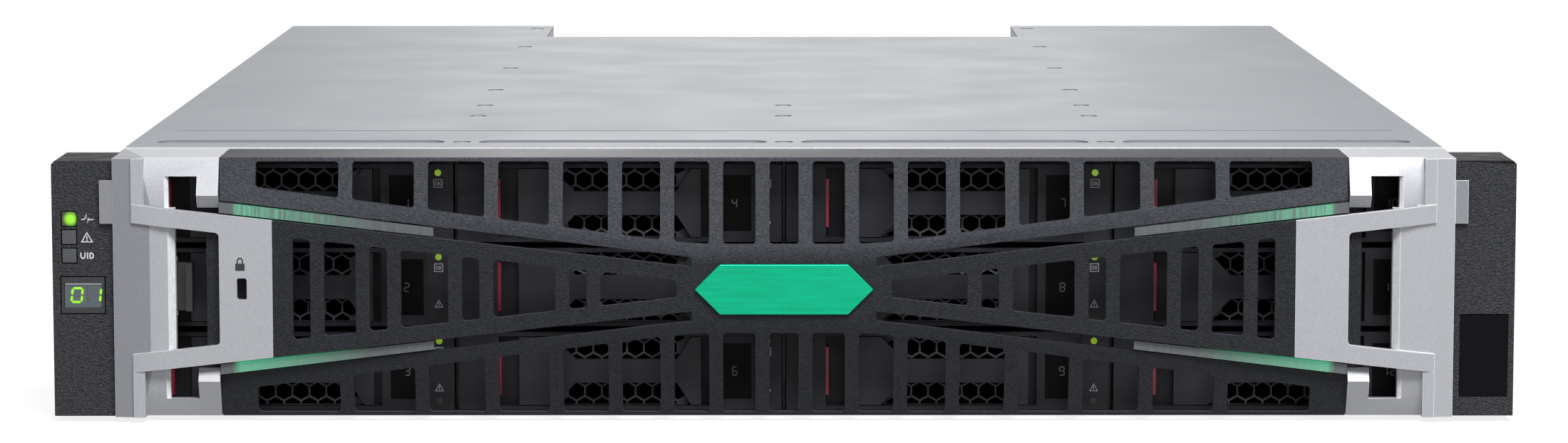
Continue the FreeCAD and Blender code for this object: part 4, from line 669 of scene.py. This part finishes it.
def bar(start, end, width):
    """A six-sided bar of a digit. It ends a little short of its line."""
    run = math.hypot(end[0] - start[0], end[1] - start[1])
    ux, uz = heading(start, end)
    half = width / 2
    near, far = half * BAR_GAP, run - half * BAR_GAP
    spots = [(near, 0), (near + half, -half), (far - half, -half), (far, 0), (far - half, half),
             (near + half, half)]
    return [(start[0] + ux * a - uz * b, start[1] + uz * a + ux * b) for a, b in spots]


def digit_bars(lines, x, z, width, height, line, lean=0.0):
    """Bars of a digit whose middle is at x and z."""
    made = []
    for letter in lines:
        ends = [(x + (u - 0.5) * width + lean * (v - 0.5) * height, z + (v - 0.5) * height)
                for u, v in DIGIT_LINES[letter]]
        made.append(bar(*ends, line))
    return made


def solid_piece(name, points, faces, body, made):
    """A closed mesh piece that rides on a body."""
    mesh = bpy.data.meshes.new(name)
    mesh.from_pydata(points, [], faces)
    shape = bmesh.new()
    shape.from_mesh(mesh)
    bmesh.ops.recalc_face_normals(shape, faces=shape.faces)
    shape.to_mesh(mesh)
    shape.free()
    mesh.materials.append(made)
    piece = bpy.data.objects.new(name, mesh)
    bpy.context.scene.collection.objects.link(piece)
    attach(piece, body)
    return piece


def flat_piece(name, outlines, y, body, made, thick=PRINT_THICK, facing=-1):
    """Thin closed plates from outlines in x and z, standing out from y towards the front or the rear."""
    points = []
    faces = []
    for outline in outlines:
        count = len(outline)
        first = len(points)
        points += [(x, y + facing * thick, z) for x, z in outline]
        points += [(x, y, z) for x, z in outline]
        faces.append(list(range(first, first + count)))
        faces.append(list(range(first + 2 * count - 1, first + count - 1, -1)))
        for i in range(count):
            j = (i + 1) % count
            faces.append([first + j, first + i, first + count + i, first + count + j])
    return solid_piece(name, points, faces, body, made)


def surface(node, x, z, facing=-1):
    """Where a node's surface lies, seen from the front or the rear at x and z."""
    mesh = NODES[node].data
    tree = BVHTree.FromPolygons([v.co for v in mesh.vertices], [tuple(p.vertices) for p in mesh.polygons])
    return tree.ray_cast(Vector((x, facing, z)), Vector((0, -facing, 0)))[0].y


def ear_marks():
    """Signs beside the two lamps and the identify button."""
    x = lamps_low.x + LAMP_HALF + ICON_GAP
    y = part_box("left_ear_cover")[0].y
    fault_z = lamps_low.z + (lamps_high.x - lamps_low.x) / 2
    uid_z = 2 * fault_z - health_z
    shapes = sign("heartbeat", x + HEARTBEAT_SHIFT, health_z, *HEARTBEAT_SIZE, ICON_LINE)
    shapes += sign("warning", x, fault_z, *EAR_WARNING_SIZE, ICON_LINE)
    for letter, shift, width in LETTERS:
        shapes += sign(letter, x + shift, uid_z, width, LETTER_HEIGHT, LETTER_LINE)
    flat_piece("ear_marks", shapes, y, "chassis", PRINT)


def ear_display():
    """The display's glass with a painted highlight along its top, and its two digits, the tens at zero and
    the units at one.
    """
    low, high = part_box("ops_display")
    centre = (low + high) / 2
    y = surface("ops_display", centre.x, centre.z)
    glass_half = ((high.x - low.x) / 2 - GLASS_SIDE, (high.z - low.z) / 2 - GLASS_END)
    glass = [(centre.x + sx * glass_half[0], centre.z + sz * glass_half[1])
             for sx, sz in ((-1, -1), (1, -1), (1, 1), (-1, 1))]
    flat_piece("display_glass", [glass], y, "chassis", DISPLAY_GLASS, GLASS_THICK)
    face = y - GLASS_THICK
    # a white strip along the top of the glass as a painted highlight
    glint_z = centre.z + glass_half[1] - GLINT_IN
    glint_end = glass_half[0] - GLINT_IN
    highlight = stroke([(centre.x - glint_end, glint_z), (centre.x + glint_end, glint_z)], GLINT_LINE)
    flat_piece("display_rim", highlight, face, "chassis", PRINT, GLINT_THICK)
    left = centre.x + TENS_SHIFT
    right = centre.x + UNITS_SHIFT
    lit = digit_bars(DIGITS["0"], left, centre.z, *DIGIT_SIZE)
    lit += digit_bars(DIGITS["1"], right, centre.z, *DIGIT_SIZE)
    flat_piece("display_digits", lit, face, "chassis", DIGIT)
    dim = digit_bars("g", left, centre.z, *DIGIT_SIZE) + digit_bars("adefg", right, centre.z, *DIGIT_SIZE)
    flat_piece("display_unlit", dim, face, "chassis", DIM_DIGIT)
    split_x = centre.x + SPLIT_SHIFT
    split_half = glass_half[1] * SPLIT_SHARE
    split = stroke([(split_x, centre.z - split_half), (split_x, centre.z + split_half)], SPLIT_LINE)
    flat_piece("display_split", split, face, "chassis", DARK_LAMP_AND_SHADE)


def lock_mark():
    """A padlock above the bezel's lock slot."""
    x = -(caps_inner - LOCK_INSET)
    z = middle_of("bezel_badge").z + LOCK_MARK_RISE
    y = surface("bezel_left_cap", x, z)
    body = [(x - LOCK_HALF, z - LOCK_BELOW), (x + LOCK_HALF, z - LOCK_BELOW),
            (x + LOCK_HALF, z + LOCK_ABOVE), (x - LOCK_HALF, z + LOCK_ABOVE)]
    shapes = [body] + sign("shackle", x, z + SHACKLE_RISE, *SHACKLE_SIZE)
    flat_piece("lock_mark", shapes, y, "bezel", DARK_PRINT)


def drive_marks(number):
    """Signs beside a carrier's two lamps, and its bay number on the label."""
    drive = DRIVES[number]
    low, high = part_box(drive + "_carrier")
    x = low.x + PIPE_X
    ok_z = high.z - OK_FROM_TOP
    y = surface(drive + "_carrier", x, ok_z)
    shapes = sign("box", x, ok_z, *OK_BOX_SIZE, DRIVE_LINE)
    for letter, shift, width in OK_LETTERS:
        shapes += sign(letter, x + shift, ok_z, width, OK_HEIGHT, OK_LINE)
    shapes += sign("warning", x, high.z - WARNING_FROM_TOP, *DRIVE_WARNING_SIZE, DRIVE_LINE)
    flat_piece(drive + "_signs", shapes, y, drive, GREY_PRINT)
    label_x = low.x + LABEL_START + LABEL_WIDTH / 2
    label_z = (low.z + high.z) / 2
    text = str(number + 1)
    bars = []
    for index, letter in enumerate(text):
        shift = (index - (len(text) - 1) / 2) * NUMBER_PITCH
        bars += digit_bars(DIGITS[letter], label_x + shift, label_z, *NUMBER_SIZE)
    flat_piece(drive + "_number", bars, surface(drive + "_carrier", label_x, label_z), drive, DIM_PRINT)


def lens(name, place, radius, rise, body, made, facing=1):
    """A small domed lens or screw head on a front or rear face, built of rings about its axis."""
    x, y, z = place
    points = []
    for reach, height in LENS_RINGS:
        for i in range(LENS_SIDES):
            angle = 2 * math.pi * i / LENS_SIDES
            points.append((x + radius * reach * math.cos(angle), y + facing * rise * height,
                           z + radius * reach * math.sin(angle)))
    last = len(LENS_RINGS) - 1
    faces = [list(range(LENS_SIDES)), list(range(last * LENS_SIDES, (last + 1) * LENS_SIDES))]
    for ring in range(last):
        for i in range(LENS_SIDES):
            j = (i + 1) % LENS_SIDES
            first = ring * LENS_SIDES
            faces.append([first + i, first + j, first + LENS_SIDES + j, first + LENS_SIDES + i])
    piece = solid_piece(name, points, faces, body, made)
    for face in piece.data.polygons:
        face.use_smooth = len(face.vertices) == 4
    return piece


def rear_openings(word):
    """Names and box corners of the record's openings whose name holds a word."""
    rows = [row for row in frame["record"]["physics"]["openings"] if word in row["name"]]
    return [(row["name"], Vector(row["box_m"][0]), Vector(row["box_m"][1])) for row in rows]


def controller_details():
    """Bright shells round the sockets, lamps and thumb screws on the controllers' rear faces."""
    for level in ("lower", "upper"):
        body = "controller_" + level
        ports = [row for row in rear_openings("_port_") if row[0].startswith(level)]
        board = NODES[body + "_board"]
        wall = Vector((SOCKET_WALL, SOCKET_WALL, SOCKET_WALL))
        deep = Vector((0, SOCKET_DEPTH, 0))
        shapes = []
        for name, low, high in ports:
            paint_inside(board, BLACK, low - wall - deep, high + wall)
            middle = (low + high) / 2
            wide = high.x - low.x + PORT_SHELL + 2 * OPENING_INSET
            tall = high.z - low.z + PORT_SHELL + 2 * OPENING_INSET
            shapes += sign("box", middle.x, middle.z, wide, tall, PORT_SHELL)
        corner = ports[0][1]
        lamp_x = corner.x - PORT_LAMP_GAP
        face_y = surface(body + "_case", lamp_x, corner.z, 1)
        flat_piece(body + "_port_shells", shapes, face_y, body, RIVET, SHELL_THICK, 1)
        for index, made in enumerate((DRIVE_GREEN, DARK_LAMP_AND_SHADE, BLUE_LAMP)):
            z = corner.z + PORT_LAMP_RISE + index * PORT_LAMP_PITCH
            lens("%s_lamp_%d" % (body, index + 1), (lamp_x, face_y, z), *PORT_LAMP, body, made)
        screw_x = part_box(body + "_left_ejector")[1].x + SCREW_GAP
        screw_z = middle_of(body + "_case").z
        for side, x in (("left", screw_x), ("right", -screw_x)):
            name = "%s_%s_screw" % (body, side)
            lens(name, (x, face_y, screw_z), *SCREW, body, RIVET)
            # the cross on each screw head is a dark plate, painted shade in its slot
            cross = stroke([(x - CROSS_REACH, screw_z), (x + CROSS_REACH, screw_z)], CROSS_LINE)
            for way in (-1, 1):
                ends = [(x, screw_z + way * CROSS_START), (x, screw_z + way * CROSS_REACH)]
                cross += stroke(ends, CROSS_LINE)
            cross_y = face_y + SCREW[1] - CROSS_SINK
            flat_piece(name + "_cross", cross, cross_y, body, DARK_LAMP_AND_SHADE, CROSS_THICK, 1)


def power_details():
    """Inlet liner and pins, the signs beside the rocker, and a lamp on each supply."""
    for name, low, high in rear_openings("_mains_inlet"):
        body = "power_" + name.split("_")[0]
        case = NODES[body + "_case"]
        slack = Vector((INLET_SLACK, INLET_SLACK, INLET_SLACK))
        deep = Vector((0, INLET_DEPTH, 0))
        paint_inside(case, BLACK, low - slack - deep, high + slack)
        inner = Vector((PIN_INSET, 0, PIN_INSET))
        paint_inside(case, RIVET, low + inner - deep, high - inner + Vector((0, PIN_REACH, 0)))
        switch_z = middle_of(body + "_switch").z
        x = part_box(body + "_switch")[0].x - SWITCH_GAP
        face_y = surface(body + "_case", x, switch_z, 1)
        shapes = sign("I", x, switch_z + SWITCH_SIGN_RISE, *SWITCH_SIGN_SIZE)
        shapes += sign("O", x, switch_z - SWITCH_SIGN_RISE, *SWITCH_SIGN_SIZE)
        flat_piece(body + "_switch_signs", shapes, face_y, body, DARK_PRINT, PRINT_THICK, 1)
        lens(body + "_lamp", (x, face_y, switch_z + SUPPLY_LAMP_RISE), *SUPPLY_LAMP, body, DRIVE_GREEN)


ear_marks()
ear_display()
lock_mark()
for number in range(len(DRIVES)):
    drive_marks(number)
controller_details()
power_details()


# Camera, light and floor

def make_camera():
    data = bpy.data.cameras.new("camera")
    data.sensor_width = SENSOR
    drop = IMAGE_HEIGHT / 2 - VANISH_Y
    data.lens = math.hypot(FOCAL_PIXELS, drop) / IMAGE_WIDTH * SENSOR
    data.clip_end = 200
    made = bpy.data.objects.new("camera", data)
    bpy.context.scene.collection.objects.link(made)
    ear_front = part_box("left_ear_cover")[0].y
    made.location = (CAMERA_X, ear_front - CAMERA_DISTANCE, CAMERA_HEIGHT)
    pitch = math.atan2(drop, FOCAL_PIXELS)
    yaw = math.atan2(IMAGE_WIDTH / 2 - VANISH_X, FOCAL_PIXELS)
    made.rotation_euler = (math.pi / 2 - pitch, 0, -yaw)
    bpy.context.scene.camera = made


def area_light(name, place, target, size, power):
    data = bpy.data.lights.new(name, "AREA")
    data.shape = "RECTANGLE"
    data.size, data.size_y = size
    data.energy = power
    made = bpy.data.objects.new(name, data)
    made.location = place
    made.rotation_euler = (Vector(target) - Vector(place)).to_track_quat("-Z", "Y").to_euler()
    bpy.context.scene.collection.objects.link(made)


def seen_directly(tree):
    """One for camera, mirror and glass rays, nought for the light that falls on surfaces."""
    path = tree.nodes.new("ShaderNodeLightPath")
    both = math_node(tree, "MAXIMUM", path.outputs["Is Camera Ray"], path.outputs["Is Glossy Ray"])
    return math_node(tree, "MAXIMUM", both, path.outputs["Is Transmission Ray"])


def make_floor():
    """A pale floor that looks white to the camera and in reflections, less the object's shadow."""
    mesh = bpy.data.meshes.new("floor")
    reach = FLOOR_REACH
    corners = [(-reach, -reach, 0), (reach, -reach, 0), (reach, reach, 0), (-reach, reach, 0)]
    mesh.from_pydata(corners, [], [(0, 1, 2, 3)])
    made = bpy.data.objects.new("floor", mesh)
    made.location.z = -FLOOR_DROP
    bpy.context.scene.collection.objects.link(made)
    pale, tree, shader = new_material("pale_floor", srgb("#808080"), 0.7, 0.0, 0.1)
    shader.inputs["Emission Color"].default_value = (1, 1, 1, 1)
    glow = math_node(tree, "MULTIPLY", seen_directly(tree), FLOOR_GLOW)
    tree.links.new(glow, shader.inputs["Emission Strength"])
    mesh.materials.append(pale)


def make_world():
    world = bpy.data.worlds.new("studio")
    world.use_nodes = True
    bpy.context.scene.world = world
    tree = world.node_tree
    back = tree.nodes["Background"]
    back.inputs["Color"].default_value = (1, 1, 1, 1)
    strength = remap(tree, seen_directly(tree), 0.0, 1.0, WORLD_LIGHT, 1.0)
    tree.links.new(strength, back.inputs["Strength"])


make_camera()
make_floor()
make_world()
area_light("top_softbox", (0.35, -1.45, 1.65), (0, -0.2, 0.05), (1.2, 0.8), 56)
area_light("front_softbox", (0.5, -2.6, 0.7), (0, -0.3, 0.04), (1.0, 0.6), 6)
area_light("cover_softbox", (0, 2.2, 0.62), (0, 0.1, 0.09), (0.7, 0.5), 5)
for side in (-1, 1):
    area_light("rear_softbox", (1.9 * side, 1.7, 0.5), (0, 0.3, 0.04), (0.8, 0.6), 9)
bpy.context.scene.view_settings.view_transform = "Standard"
